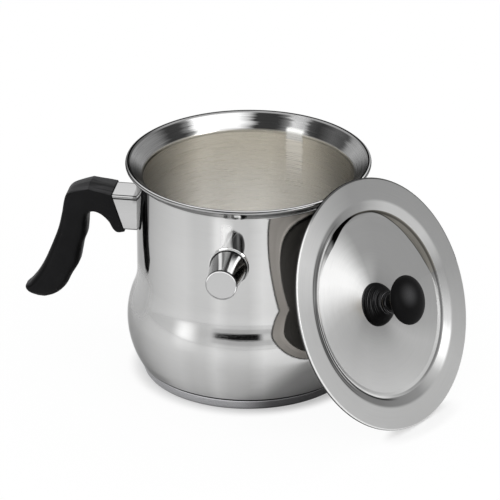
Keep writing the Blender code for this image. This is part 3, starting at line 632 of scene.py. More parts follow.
def milk_pot_finish():
    """Brushed inside, with painted wedges of reflected light and shade on the flare, a painted pale
    reflection stripe, a painted dark line at the bend, and painted highlights and dark lines on the
    bead.
    """
    finish = Surface("milk_pot_brushing")
    _, _, z, radius, turn = finish.round_place()
    lines = finish.turned_lines(BRUSH_LINES)
    broad = finish.turned_lines(420.0, 2.0)
    uneven = turn + (broad - 0.5) * 0.030 + (lines - 0.5) * 0.010
    # Painted reflections: wedges of light and shade round the flare, a little uneven.
    wedges = finish.dial({
        0: 0.25, 14: 0.42, 27: 0.48, 35: 0.36, 40: 0.08, 50: 0.11, 60: 0.035, 66: 0.055, 69: 0.28,
        76: 0.34, 79: 0.11, 84: 0.03, 96: 0.04, 100: 0.58, 105: 1.0, 128: 1.0, 132: 0.22, 137: 0.045,
        146: 0.04, 154: 0.20, 170: 0.30, 182: 0.44, 196: 0.24, 205: 0.16, 215: 0.45, 235: 0.32,
        262: 0.60, 285: 0.30, 310: 0.55, 330: 0.30, 345: 0.42, 360: 0.25,
    }, uneven)
    on_flare = z.step(0.1535, 0.1555)
    # The wall, paler over one band round the axis and warmer towards the top.
    wall = finish.mix(turn.band(0.25, 0.38, 0.04), (0.90, 0.888, 0.862), (0.97, 0.96, 0.935))
    wall = finish.mix(z.step(0.100, 0.150), wall, (0.93, 0.895, 0.815))
    # Painted shade: a dark line where the wall bends out into the flare, darker on some sides.
    bend_dark = finish.dial({
        0: 0.55, 15: 0.50, 40: 0.25, 150: 0.30, 162: 0.80, 215: 0.90, 240: 0.40, 330: 0.40, 345: 0.55,
        360: 0.55,
    }, turn)
    bend = z.band(0.1523, 0.1543, 0.0005) * bend_dark
    # A painted pale reflection stripe up the inside of the wall, less metallic so that it reads pale,
    # with a paler top.
    stripe = turn.band(0.191, 0.218, 0.003) * z.step(0.105, 0.145) * (1.0 - z.step(0.1560, 0.1580))
    stripe_top = stripe * z.step(0.1475, 0.1505)
    stripe = stripe * (0.6 + lines * 0.6)
    base = finish.mix(on_flare, wall, wedges)
    base = finish.mix(bend, base, (0.03, 0.03, 0.03))
    base = finish.mix(stripe_top, base, (0.90, 0.90, 0.88))
    # The brushing lines laid over the wall and the painted light and shade.
    lines_over_painted_light = finish.mix(0.18 + on_flare * 0.17, base, finish.vector(lines, lines, lines), blend="OVERLAY")
    # Painted reflections on the bead: light and dark lines round its curve, and painted shade on the
    # handle's side.
    out = radius - BEAD_CENTRE.x
    up = z - BEAD_CENTRE.y
    on_bead = 1.0 - (out * out + up * up).step((BEAD_RADIUS * 1.02) ** 2, (BEAD_RADIUS * 1.25) ** 2)
    round_bead = up.math("ARCTAN2", out) / math.tau + 0.5
    bead = finish.dial({
        118: 0.05, 138: 0.08, 150: 0.36, 198: 0.42, 206: 0.22, 210: 0.02, 223: 0.02, 229: 0.42,
        236: 0.70, 254: 0.70, 260: 0.28, 265: 0.02, 296: 0.02, 304: 0.30, 320: 0.35,
    }, round_bead).dimmed((turn.band(0.42, 0.58, 0.03), 0.60))
    return finish.worked_round(
        lines, 0.10,
        Base_Color=finish.mix(on_bead, lines_over_painted_light, bead),
        Metallic=1.0 - stripe * 0.85,
        Specular_Tint=(0.35, 0.35, 0.35),
        Roughness=0.28 + (lines - 0.5) * 0.14 - on_bead * 0.16,
        Anisotropic=0.7,
    )


def make_milk_pot():
    neck_height = FLARE_TOP.y - (FLARE_TOP.x - POT_RADIUS) * math.tan(FLARE_ANGLE)
    path = rounded([
        (0.0, POT_FLOOR),
        (POT_RADIUS, POT_FLOOR, POT_CORNER, 14),
        (POT_RADIUS, neck_height, FLARE_BEND, 8),
        FLARE_TOP,
    ])
    bead_start = math.pi / 2 + FLARE_ANGLE
    path += arc_points(BEAD_CENTRE, BEAD_RADIUS, bead_start, BEAD_END_ANGLE, 22)[1:]
    pot = turned("milk_pot", path, ROUND, milk_pot_finish(), SHEET)
    seat(pot, "pot", "inner_pot", slot="brushed_steel")


def foot_finish():
    """The cap's brushed ring, with painted shade where it tucks under the shell, under the lid and where
    it meets the table, and a painted highlight just below its top edge.
    """
    finish = Surface("foot_brushing")
    _, _, z, _, turn = finish.round_place()
    lines = finish.turned_lines(BRUSH_LINES)
    # Painted shade on the side under the lid, and a painted highlight line just below the top edge.
    under_lid = turn.band(0.785, 0.93, 0.03)
    edge = z.band(0.0064, 0.0074, LINE_SOFT) * (1.0 - under_lid * 0.7)
    shade = (0.49 + (lines - 0.5) * 0.12).dimmed((under_lid, 0.72)).toward(0.85, edge * 0.8)
    # Painted shade: near black at the top, where it tucks under the shell, and darker where it meets the
    # table.
    shade = shade.dimmed((z.step(0.0074, 0.0078), 0.95)) * (0.40 + z.step(0.0006, 0.0022) * 0.60)
    return finish.worked_round(
        lines, 0.08,
        Base_Color=finish.vector(shade * 0.99, shade * 0.99, shade * 1.02),
        Roughness=0.24 + (lines - 0.5) * 0.12,
        Anisotropic=0.6,
    )


def make_foot():
    path = rounded([
        (BASE_RADIUS, BASE_HEIGHT),
        (BASE_RADIUS, 0.0, BASE_BEND, 8),
        (0.0, 0.0),
    ])
    foot = turned("foot_cap", path, ROUND, foot_finish(), SHEET)
    seat(foot, "pot", "base_cap", slot="brushed_steel")


def bush_finish():
    """Mirror steel that still shows the faint lines of the polishing wheel."""
    finish = Surface("bush_polish")
    lines = finish.turned_lines(POLISH_LINES)
    broad = finish.turned_lines(140.0, 2.0)
    shade = 0.68 + (lines - 0.5) * 0.05 + (broad - 0.5) * 0.04
    return finish.worked_round(
        lines, 0.03,
        Base_Color=finish.vector(shade, shade, shade * 0.995),
        Roughness=0.06 + abs(lines - 0.5) * 0.08,
        Anisotropic=0.55,
    )


def make_filler_bush():
    """The bush through the wall, with its flange bent to the wall's curve."""
    wall = WALL_RADIUS + GAP
    rings = []
    for radius, reach in (
        (NECK_BORE, NECK_BACK),
        (NECK_RADIUS - 0.0003, NECK_BACK),
        (NECK_RADIUS, NECK_BACK + 0.0003),
        (NECK_RADIUS, None),
        (FLANGE_RADIUS - 0.0004, None),
        (FLANGE_RADIUS, WALL_RADIUS + 0.0008),
        (FLANGE_RADIUS, FLANGE_FRONT - 0.0006),
        (FLANGE_RADIUS - 0.0006, FLANGE_FRONT),
        (NECK_RADIUS + 0.0004, FLANGE_FRONT),
        (NECK_RADIUS, FLANGE_FRONT + 0.0004),
        (NECK_RADIUS, NECK_FRONT - 0.0003),
        (NECK_RADIUS - 0.0003, NECK_FRONT),
        (NECK_BORE, NECK_FRONT),
    ):
        ring = []
        for i in range(SMALL_ROUND):
            angle = math.tau * i / SMALL_ROUND
            x = radius * math.cos(angle)
            out = reach if reach is not None else math.sqrt(wall * wall - x * x)
            ring.append(Vector((x, -out, FILLER_HEIGHT + radius * math.sin(angle))))
        rings.append(ring)
    bush = lofted("filler_bush", rings, bush_finish(), closed=True)
    seat(bush, "pot", "filler_neck", slot="plain_steel")


# Whistle

def whistle_matrix():
    turn = Vector((0.0, -1.0, 0.0)).to_track_quat("Z", "Y").to_matrix().to_4x4()
    return Matrix.Translation((0.0, 0.0, FILLER_HEIGHT)) @ turn


def whistle_finish():
    """Mirror polish with painted streaks of reflected light and shade on its cone, and painted light and
    dark lines at its face, bevel, groove, lip and foot.
    """
    finish = Surface("whistle_polish")
    _, _, z, radius, turn = finish.round_place()
    lines = finish.turned_lines(POLISH_LINES)
    along = (z - CAP_BACK) / (CAP_FRONT - CAP_BACK)
    spread = (turn - 80.0 / 360.0) * (1.0 + along * 0.9) + 0.5 + (lines - 0.5) * 0.01
    # Painted reflections: streaks of light and shade round the cone, spreading towards its front.
    streaks = finish.dial({
        0: 0.45, 60: 0.50, 70: 0.30, 85: 0.10, 100: 0.03, 110: 0.05, 116: 0.28, 122: 0.06, 132: 0.16,
        140: 0.30, 160: 0.42, 168: 0.30, 176: 0.14, 184: 0.22, 194: 0.42, 217: 0.42, 221: 0.20,
        230: 0.14, 250: 0.24, 275: 0.45, 360: 0.45,
    }, spread)
    # Two painted white streaks of light on the cone, less metallic so that they read white.
    angle = turn * 360.0
    left_streak = 1.0 - abs(angle - 118.0 + along * 24.5).step(2.5, 9.5) - along * 0.15
    right_streak = 1.0 - abs(angle - 63.5 + along * 6.0).step(9.0, 13.5)
    right_streak = right_streak * along.step(0.05, 0.60)
    on_cone = z.band(CAP_BACK + 0.0021, CAP_FRONT - 0.0028, LINE_SOFT)
    white = (left_streak.clamped() + right_streak) * on_cone
    # Painted tones at the front and back: a grey face, a lit bevel, a dark groove line, a bright lip and
    # a dark line at the foot.
    face = z.step(CAP_FRONT - 0.0006, CAP_FRONT - 0.0004) * (1.0 - radius.step(0.0104, 0.0106))
    bevel = z.step(CAP_FRONT - 0.0008, CAP_FRONT - 0.0006) * radius.step(0.0105, 0.0106)
    groove = radius.step(0.01115, 0.0113) * z.band(CAP_FRONT - 0.0028, CAP_FRONT + 0.001, LINE_SOFT)
    lip = z.band(CAP_BACK - 0.001, CAP_BACK + 0.0012, 0.0001)
    foot_line = z.band(CAP_BACK + 0.0013, CAP_BACK + 0.0020, LINE_SOFT)
    lit_edge = turn.band(0.06, 0.46, 0.03) + turn.step(0.90, 0.95)
    shade = streaks.toward(0.98, white).toward(0.52, face).toward(0.35 + lit_edge * 0.60, bevel)
    shade = shade.toward(0.92, lip).dimmed((groove, 0.90), (foot_line, 0.90)) + (lines - 0.5) * 0.04
    return finish.give(
        Base_Color=finish.vector(shade, shade, shade),
        Metallic=1.0 - white * 0.95 - lip * 0.92 - bevel * lit_edge * 0.7,
        Roughness=0.06 + abs(lines - 0.5) * 0.06 + face * 0.05,
        Normal=finish.bump(lines, 0.02, 0.0004),
    )


def make_whistle():
    lip_front = CAP_BACK + 0.0016
    path = rounded([
        (0.0, CAP_FRONT - 0.0003),
        (0.0102, CAP_FRONT - 0.0003, 0.0004, 4),
        (0.0106, CAP_FRONT, 0.0003, 4),
        (0.0114, CAP_FRONT - 0.0001, 0.0006, 6),
        (0.0116, CAP_FRONT - 0.0018, 0.0006, 6),
        (0.0112, CAP_FRONT - 0.0026, 0.0004, 4),
        (0.0131, lip_front, 0.0004, 5),
        (0.0140, lip_front - 0.0003, 0.0004, 6),
        (0.0140, CAP_BACK),
    ])
    cap = turned("whistle_shell", path, SMALL_ROUND, whistle_finish(), SHEET)
    cap.matrix_world = whistle_matrix()
    down = whistle_matrix().to_3x3().inverted() @ Vector((0.0, 0.0, -1.0))
    start = Vector((0.0, 0.0, CAP_FRONT - SOUND_HOLE_SETBACK)) + down * SOUND_HOLE_START
    drilled(cap, SOUND_HOLE_RADIUS, start, down, 0.0080)
    seat(cap, "whistle", "whistle_cap", slot="polished_steel")


# Handle

# Stations of the grip from the ferrule to the tail. Each row holds, as shares: outer side
# (reach, drop), inner side (reach, drop), width, and the corner radii of both sides.
STATIONS = (
    (0.128, 0.016, 0.002, 0.334, 1.000, 0.12, 0.36),
    (0.185, 0.008, 0.068, 0.345, 0.975, 0.12, 0.36),
    (0.228, 0.002, 0.109, 0.325, 0.950, 0.12, 0.43),
    (0.275, -0.004, 0.149, 0.271, 0.915, 0.12, 0.50),
    (0.364, -0.016, 0.216, 0.222, 0.865, 0.12, 0.57),
    (0.423, -0.003, 0.285, 0.199, 0.835, 0.17, 0.64),
    (0.497, 0.015, 0.342, 0.202, 0.800, 0.28, 0.71),
    (0.560, 0.036, 0.376, 0.228, 0.775, 0.42, 0.79),
    (0.600, 0.071, 0.389, 0.261, 0.760, 0.54, 0.86),
    (0.623, 0.132, 0.393, 0.299, 0.748, 0.62, 0.93),
    (0.645, 0.232, 0.397, 0.360, 0.741, 0.68, 1.00),
    (0.685, 0.368, 0.409, 0.429, 0.739, 0.79, 1.00),
    (0.736, 0.483, 0.442, 0.501, 0.739, 0.86, 1.00),
    (0.792, 0.595, 0.463, 0.585, 0.739, 0.93, 1.00),
    (0.854, 0.708, 0.489, 0.678, 0.739, 1.00, 1.00),
    (0.918, 0.801, 0.561, 0.782, 0.725, 1.00, 1.00),
    (0.983, 0.870, 0.612, 0.868, 0.690, 1.00, 1.00),
    (1.041, 0.920, 0.666, 0.924, 0.620, 0.93, 0.93),
    (1.019, 0.961, 0.732, 0.965, 0.514, 0.71, 0.71),
    (0.946, 0.989, 0.818, 0.996, 0.352, 0.43, 0.43),
)
# The station where the two upper flats meet, how high the low roof along them rises, the
# station where it has faded out, and over how many stations it fades
RIDGE = 4
ROOF = 0.0011
ROOF_END = 7.6
ROOF_FADE = 2.6


def section(outer, inner, width, outer_corner, inner_corner, roof=0.0):
    """A ring: a rounded rectangle from inner to outer. A roof raises its outer side's middle."""
    up = (outer - inner).normalized()
    height = (outer - inner).length
    half = width / 2
    flat = []
    for x, y, radius, corner in (
        (half, height, outer_corner, 0),
        (-half, height, outer_corner, 1),
        (-half, 0.0, inner_corner, 2),
        (half, 0.0, inner_corner, 3),
    ):
        radius = max(0.0003, min(radius, half * 0.96, height * 0.48))
        centre = Vector((x - math.copysign(radius, x), y + (-radius if y else radius)))
        start = corner * math.pi / 2
        flat += arc_points(centre, radius, start, start + math.pi / 2, 9)
        if corner == 0:
            for across, share in ((0.08, 0.92), (0.0, 1.0), (-0.08, 0.92)):
                flat.append(Vector((across * half, height + share * roof)))
    return [
        Vector((inner.x + up.x * point.y, point.x, inner.y + up.y * point.y))
        for point in flat
    ]


def between(rows, place):
    """A row between rows, on a smooth curve through them."""
    index = min(int(place), len(rows) - 2)
    share = place - index
    before = rows[max(index - 1, 0)]
    here = rows[index]
    after = rows[index + 1]
    beyond = rows[min(index + 2, len(rows) - 1)]
    made = []
    for a, b, c, d in zip(before, here, after, beyond):
        curve = 2 * b + (c - a) * share
        curve += (2 * a - 5 * b + 4 * c - d) * share ** 2
        curve += (3 * b - a - 3 * c + d) * share ** 3
        made.append(curve / 2)
    return made


def grip_point(reach_share, drop_share):
    return Vector((-(GRIP_START + reach_share * GRIP_REACH), GRIP_TOP - drop_share * GRIP_DROP))


def grip_finish():
    """Black heat-proof moulding with the fine grain of its tool. Its upper flats are painted paler, as
    lit from above, with streaks, and its rounded edges and narrow faces darker than its broad sides.
    """
    finish = Surface("grip_moulding")
    point, x, y, z = finish.place()
    grain = finish.noise(point, 1800.0, 2.0, 0.6)
    wear = finish.noise(point, 45.0, 3.0, 0.55)
    sheen_streaks = finish.noise(finish.vector(x * 40.0, y * 420.0, z * 40.0), 1.0, 3.0, 0.6)
    facing_x, facing_y, facing_z = finish.parts(finish.node("TexCoord", {}).other("Normal"))
    # Painted light and shade by the way each face turns: upper flats paler, most on the outer side, with
    # streaks in the sheen; faces not turned to the front or back darker.
    upper = facing_z.step(0.45, 0.75)
    outer = (facing_x * -1.0).step(0.05, 0.30)
    flank = abs(facing_y).step(0.75, 0.97)
    tone = 0.0105 * (0.35 + flank * 0.65) + wear.step(0.35, 0.75) * 0.003
    tone = tone + upper * (0.006 + outer * 0.016 + sheen_streaks.step(0.38, 0.64) * 0.028)
    return finish.give(
        Base_Color=finish.vector(tone, tone, tone * 1.05),
        Roughness=0.46 + (grain - 0.5) * 0.12 + (wear - 0.5) * 0.08,
        IOR=1.2,
        Specular_IOR_Level=0.20,
        Normal=finish.bump(grain, 0.10, 0.0002),
    )


def make_grip():
    """The grip: crisp where its two flats meet, with a low roof on top that fades into the round."""
    rings = []
    fine = 8
    for i in range((len(STATIONS) - 1) * fine + 1):
        place = i / fine
        row = between(STATIONS, place)
        if place < RIDGE:
            outer = between(STATIONS[:RIDGE + 1], place)
        else:
            outer = between(STATIONS[RIDGE:], place - RIDGE)
        rings.append(section(
            grip_point(outer[0], outer[1]),
            grip_point(row[2], row[3]),
            row[4] * GRIP_WIDTH,
            row[5] * GRIP_CORNER,
            row[6] * GRIP_CORNER,
            ROOF * max(0.0, min(1.0, (ROOF_END - place) / ROOF_FADE)),
        ))
    grip = lofted("handle_moulding", rings, grip_finish())
    seat(grip, "pot", "handle_grip", slot="black_moulding")


def grip_face_x(height):
    """Where the grip's slanted end face stands at a height."""
    top = grip_point(*STATIONS[0][:2])
    bottom = grip_point(*STATIONS[0][2:4])
    share = (height - bottom.y) / (top.y - bottom.y)
    return bottom.x + (top.x - bottom.x) * share


def ferrule_ring(inset, at_wall):
    """A ring of the ferrule at the wall or at the grip."""
    corner = FERRULE_CORNER - inset
    flat = section(
        Vector((0.0, FERRULE_TOP - inset)),
        Vector((0.0, FERRULE_BOTTOM + inset)),
        FERRULE_WIDTH - 2 * inset,
        corner,
        corner,
    )
    wall = WALL_RADIUS + GAP
    ring = []
    for point in flat:
        if at_wall:
            x = -math.sqrt(wall * wall - point.y * point.y)
        else:
            x = grip_face_x(point.z) + FERRULE_GRIP_GAP
        ring.append(Vector((x, point.y, point.z)))
    return ring


def ferrule_finish():
    """Polished along its length, with painted dark lines of reflection by its edges, a painted shade
    under the rim, its upper part painted a little darker and its top flat lighter.
    """
    finish = Surface("ferrule_polish")
    _, x, y, z = finish.place()
    lines = finish.noise(finish.vector(x * 60.0, y * 1800.0, z * 1800.0), 1.0, 3.0, 0.6)
    half = FERRULE_WIDTH / 2
    # Painted dark lines of reflection by the top, side and foot edges, and painted shade under the rim.
    top_line = abs(y).band(half - 0.0024, half - 0.0010, LINE_SOFT)
    top_line = top_line * z.step(FERRULE_TOP - 0.001, FERRULE_TOP - 0.0005)
    side_line = z.band(FERRULE_TOP - 0.0028, FERRULE_TOP - 0.0016, LINE_SOFT)
    foot_line = z.band(FERRULE_BOTTOM + 0.0004, FERRULE_BOTTOM + 0.0014, 0.0003)
    under_rim = x.step(-0.0848, -0.0832) * z.step(0.128, 0.133)
    # Painted light: the upper part a little darker, the top flat lighter.
    shade = 0.54 + (lines - 0.5) * 0.08 - z.step(0.118, 0.130) * 0.05
    shade = shade + z.step(FERRULE_TOP - 0.0006, FERRULE_TOP - 0.0003) * 0.18
    shade = shade.dimmed((under_rim, 0.45), (top_line, 0.93), (side_line, 0.93), (foot_line, 0.75))
    return finish.give(
        Base_Color=finish.vector(shade, shade, shade),
        Metallic=1.0,
        Roughness=0.12 + (lines - 0.5) * 0.06,
        Normal=finish.bump(lines, 0.04, 0.0004),
    )


def make_ferrule():
    rings = []
    for inset, at_wall in ((0.0, True), (0.0, False), (SHEET, False), (SHEET, True)):
        rings.append(ferrule_ring(inset, at_wall))
    ferrule = lofted("handle_sleeve", rings, ferrule_finish(), closed=True)
    seat(ferrule, "pot", "handle_ferrule", slot="polished_steel")


# Lid

def lid_matrix():
    """Where the lid's own axes lie: Z out of its face, from the middle of its brim."""
    rise, run = math.sin(LID_LEAN), math.cos(LID_LEAN)
    height = LID_RADIUS * run + LID_LIP_DEPTH * rise + GAP
    bead = BEAD_CENTRE.x * run + BEAD_CENTRE.y * rise
    reach = (bead + BEAD_RADIUS + GAP + SHEET - height * rise) / run
    middle = LID_OUTWARD * reach + LID_SIDEWAYS * LID_SIDE_SHIFT + Vector((0.0, 0.0, height))
    out = LID_OUTWARD * run + Vector((0.0, 0.0, rise))
    return Matrix.Translation(middle) @ out.to_track_quat("Z", "Y").to_matrix().to_4x4()


def part_rings(radius, turn, rows):
    """Thin rings that run part of the way round, from (low, high, start, end, softness, share) rows."""
    rings = 0.0
    for low, high, start, end, soft, share in rows:
        rings = radius.band(low, high, LINE_SOFT) * turn.band(start, end, soft) * share + rings
    return rings


def lid_finish():
    """Round brushing with painted reflections: a broad bright wedge on the dish, a softer one on the
    brim, and a shiny fold.

    An outer band of the dish has painted shades of its own, and thin painted lines of light and shade
    follow the fold and the hem.
    """
    finish = Surface("lid_brushing")
    _, _, z, radius, turn = finish.round_place()
    lines = finish.turned_lines(3200.0)
    broad = finish.turned_lines(260.0, 2.0)
    uneven = turn + (broad - 0.5) * 0.012
    # Painted reflections round the axis, for the dish, the brim, the fold and the dish's outer band.
    dish = finish.dial({
        0: 0.31, 60: 0.32, 88: 0.34, 96: 0.46, 104: 0.64, 114: 0.86, 124: 0.98, 136: 1.0, 146: 0.90,
        154: 0.75, 163: 0.59, 172: 0.49, 184: 0.46, 205: 0.46, 225: 0.50, 255: 0.50, 285: 0.47,
        302: 0.47, 318: 0.38, 335: 0.34, 360: 0.31,
    }, uneven - 0.0096 - (radius - 0.044) * 1.0)
    brim = finish.dial({
        0: 0.35, 60: 0.33, 88: 0.32, 100: 0.38, 112: 0.45, 125: 0.56, 140: 0.62, 152: 0.56, 165: 0.48,
        180: 0.47, 230: 0.50, 270: 0.49, 310: 0.50, 330: 0.44, 345: 0.40, 360: 0.35,
    }, uneven)
    fold = finish.dial({
        0: 0.28, 12: 0.42, 25: 0.52, 60: 0.52, 72: 0.44, 82: 0.32, 98: 0.28, 108: 0.22, 120: 0.30,
        130: 0.20, 145: 0.22, 156: 0.32, 166: 0.21, 180: 0.15, 190: 0.15, 202: 0.23, 240: 0.22,
        260: 0.26, 276: 0.29, 286: 0.42, 296: 0.52, 308: 0.98, 321: 1.0, 330: 0.58, 342: 0.42,
        350: 0.32, 360: 0.28,
    }, uneven)
    edge = finish.dial({
        0: 0.15, 15: 0.15, 45: 0.18, 60: 0.13, 70: 0.07, 80: 0.10, 88: 0.05, 92: 0.004, 113: 0.004,
        117: 0.20, 120: 0.25, 124: 0.24, 130: 0.60, 142: 0.95, 150: 1.0, 162: 1.0, 168: 0.72,
        178: 0.42, 190: 0.46, 202: 0.62, 216: 0.86, 245: 0.80, 255: 0.54, 272: 0.36, 292: 0.36,
        310: 0.28, 335: 0.22, 350: 0.22, 360: 0.13,
    }, uneven)
    # Where the dish's outer band of painted shade begins, round the axis.
    inner_edge = finish.dial({
        0: 0.54, 10: 0.33, 20: 0.25, 30: 0.25, 40: 0.38, 50: 0.55, 60: 0.74, 70: 0.90, 85: 0.88,
        92: 0.74, 100: 0.48, 108: 0.20, 116: 0.05, 125: 0.14, 135: 0.32, 150: 0.44, 165: 0.58,
        180: 0.76, 210: 0.82, 300: 0.82, 335: 0.77, 350: 0.68, 360: 0.54,
    }, turn) * 0.008 + 0.060
    in_edge = (radius - inner_edge).step(-0.0002, 0.0002)
    in_fold = radius.step(0.0682, 0.0686)
    in_brim = radius.step(0.0742, 0.0768)
    # Thin painted lines of light and shade: the band's dark outline, a dark crease, bright glints, dark
    # grooves, a pale hem, a dark rim line and a dark turned-down side.
    outline = (radius - inner_edge).band(-0.0003, 0.0003, LINE_SOFT) * turn.band(0.01, 0.22, 0.02)
    crease_dark = finish.dial({
        0: 0.55, 60: 0.52, 72: 0.25, 84: 0.40, 96: 0.10, 118: 0.0, 168: 0.0, 178: 0.60, 200: 0.60,
        215: 0.10, 280: 0.10, 290: 0.40, 325: 0.45, 335: 0.60, 360: 0.55,
    }, turn)
    crease = radius.band(0.0664, 0.0677, LINE_SOFT) * crease_dark
    glint = part_rings(radius, turn, (
        (0.0668, 0.0692, 0.325, 0.47, 0.02, 1.0),
        (0.0677, 0.0690, 0.47, 0.68, 0.02, 1.0),
        (0.0706, 0.0715, 0.47, 0.60, 0.02, 0.5),
    ))
    groove = part_rings(radius, turn, (
        (0.0708, 0.0718, 0.30, 0.47, 0.02, 0.6),
        (0.0692, 0.0704, 0.47, 0.70, 0.02, 1.0),
        (0.0719, 0.0730, 0.44, 0.60, 0.03, 0.7),
        (0.0744, 0.0754, 0.38, 0.62, 0.03, 0.7),
    ))
    hem = radius.band(0.0912, 0.0922, LINE_SOFT) * (1.0 - turn.band(-0.02, 0.34, 0.02))
    rim_line = radius.step(0.0907, 0.0912) * turn.band(-0.02, 0.33, 0.02)
    side = (1.0 - z.step(-0.0010, -0.0006)) * radius.step(0.088, 0.089)
    # The dish's painted light changes with radius: over part of the turn lighter outwards and darker
    # inwards, a little darker near the knob, and paler near it over another part.
    lower = turn.band(0.53, 0.80, 0.06) * (radius - 0.045) * 9.0
    core = turn.band(0.19, 0.27, 0.04) * (1.0 - radius.step(0.018, 0.042))
    shade = dish * (1.0 + lower) * (0.88 + radius.step(0.014, 0.036) * 0.12) * (1.0 + core * 0.38)
    shade = shade.toward(edge, in_edge).toward(fold, in_fold).toward(brim, in_brim)
    shade = shade.dimmed((outline, 0.75), (crease, 1.0), (groove, 0.80)).toward(1.0, glint * 0.8)
    shade = shade.toward(0.80, hem).dimmed((rim_line, 0.75), (side, 0.90)) * (0.90 + lines * 0.20)
    # A painted warm tint in the dish's outer band, from what it reflects.
    warm = in_edge * (1.0 - in_fold) * turn.band(0.0, 0.25, 0.02)
    return finish.worked_round(
        lines, 0.08, 0.0003,
        Base_Color=finish.vector(shade * (1.0 + warm * 0.05), shade, shade * (0.995 - warm * 0.10)),
        Specular_Tint=(0.25, 0.25, 0.25),
        Roughness=0.44 + (lines - 0.5) * 0.14,
        Anisotropic=0.25,
    )


def lid_back_finish():
    """The lid's underside, painted dark as it lies in shade, paler under the brim, with painted dark
    lines, a light line and a brown cast.
    """
    finish = Surface("lid_underside")
    _, _, _, radius, _ = finish.round_place()
    lines = finish.turned_lines(900.0, 2.0)
    # Painted shade: dark in the middle, paler under the brim, with painted dark lines at the fold and
    # the rim and a painted light line by the fold.
    brim = radius.step(0.0655, 0.0675)
    line = radius.band(0.0648, 0.0668, 0.0004) + radius.step(0.0892, 0.0899)
    light_line = radius.band(0.0670, 0.0684, 0.0003)
    shade = 0.060 + brim * 0.385 + light_line * 0.20 + (lines - 0.5) * 0.06
    shade = shade.dimmed((line, 0.93))
    return finish.give(
        Base_Color=finish.vector(shade * 1.06, shade, shade * 0.93),
        Metallic=1.0,
        Roughness=0.36 + (lines - 0.5) * 0.10,
        Normal=finish.bump(lines, 0.05, 0.0004),
    )


def make_lid():
    path = rounded([
        (0.0024, -LID_CENTRE_DEPTH),
        (0.0180, -LID_CENTRE_DEPTH, 0.004, 4),
        (0.0643, -0.0042, 0.0010, 8),
        (0.0685, -0.0018, 0.0008, 8),
        (0.0752, 0.0, 0.0080, 8),
        (LID_RADIUS, 0.0, 0.0011, 8),
        (LID_RADIUS, -LID_LIP_DEPTH),
    ])
    lid = turned("lid_pressing", path, ROUND, lid_finish(), SHEET, lid_back_finish())
    lid.matrix_world = lid_matrix()
    seat(lid, "lid", "lid_plate", slot="brushed_steel")


def knob_path():
    """The knob from the top of its head, over its ring and domed foot, to the hole below."""
    def head_point(angle, rise):
        return KNOB_HEAD_RADIUS * math.cos(angle), KNOB_HEAD_HEIGHT + rise * math.sin(angle)

    under_end = -math.acos(KNOB_NECK_RADIUS / KNOB_HEAD_RADIUS)
    path = [head_point(math.pi / 2 * (1 - i / 16), KNOB_HEAD_DOME) for i in range(17)]
    path += [head_point(under_end * i / 16, KNOB_HEAD_UNDERSIDE) for i in range(1, 17)]
    path += [
        (KNOB_NECK_RADIUS, KNOB_FOOT_HEIGHT + KNOB_RING_HEIGHT),
        (KNOB_RING_RADIUS, KNOB_FOOT_HEIGHT + KNOB_RING_HEIGHT / 2),
        (KNOB_WAIST_RADIUS, KNOB_FOOT_HEIGHT),
    ]
    for i in range(1, 21):
        down = 1 - i / 20
        radius = KNOB_FOOT_RADIUS - (KNOB_FOOT_RADIUS - KNOB_WAIST_RADIUS) * down ** KNOB_FOOT_POWER
        path.append((radius, KNOB_FOOT_EDGE + (KNOB_FOOT_HEIGHT - KNOB_FOOT_EDGE) * down))
    path += [
        (KNOB_FOOT_RADIUS, 0.0),
        (KNOB_HOLE_RADIUS, 0.0),
        (KNOB_HOLE_RADIUS, KNOB_HOLE_HEIGHT),
        (0.0, KNOB_HOLE_HEIGHT),
    ]
    return [Vector((max(radius, 0.0), KNOB_FOOT + height)) for radius, height in path]


def knob_finish():
    """The grip's moulding, turned: painted bright rings on its foot's lit side and on its neck, and a
    painted sheen on its head.
    """
    finish = Surface("knob_moulding")
    x, y, z, _, turn = finish.round_place()
    lines = finish.turned_lines(2200.0, 1.0)
    grain = finish.noise(finish.vector(x, y, z), 1800.0, 2.0, 0.6)
    foot = 1.0 - z.step(KNOB_FOOT + 0.0110, KNOB_FOOT + 0.0135)
    neck = z.band(KNOB_FOOT + 0.0112, KNOB_FOOT + 0.0150, 0.0006)
    # Painted highlights: bright rings on the foot's lit side and on the neck, a soft sheen at one spot
    # on the head, and the head a little paler.
    lit = turn.band(0.31, 0.50, 0.09)
    streaks = lines.step(0.48, 0.70) * (foot * lit * 0.13 + neck * 0.16)
    head = z.step(KNOB_FOOT + 0.026, KNOB_FOOT + 0.034)
    from_spot = ((x + 0.002) * (x + 0.002) + (y - 0.004) * (y - 0.004)) ** 0.5
    sheen = (1.0 - from_spot.step(0.0, 0.011)) * head * (0.6 + grain * 0.8)
    tone = 0.002 + streaks + lines * 0.002 + sheen * 0.042 + head * 0.002
    return finish.give(
        Base_Color=finish.vector(tone, tone, tone * 1.03),
        Roughness=0.40 + (grain - 0.5) * 0.12 - foot * lines * 0.10,
        IOR=1.2,
        Specular_IOR_Level=0.12,
        Normal=finish.bump(lines * (0.2 + foot) + grain * 0.2, 0.25, 0.0003),
    )


def make_knob():
    knob = turned("knob_turning", knob_path(), SMALL_ROUND, knob_finish())
    knob.matrix_world = lid_matrix()
    knob.visible_glossy = False
    seat(knob, "lid", "lid_knob", slot="black_moulding")


def dress_hidden_nodes():
    """The CAD pieces that keep their shape get their own finishes."""
    finishes = {node: plain_metal(*values) for node, values in PLAIN_METALS.items()}
    finishes["whistle_seal"] = pale_silicone()
    for node, material in finishes.items():
        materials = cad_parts[node].data.materials
        for i in range(len(materials)):
            materials[i] = material


# Studio

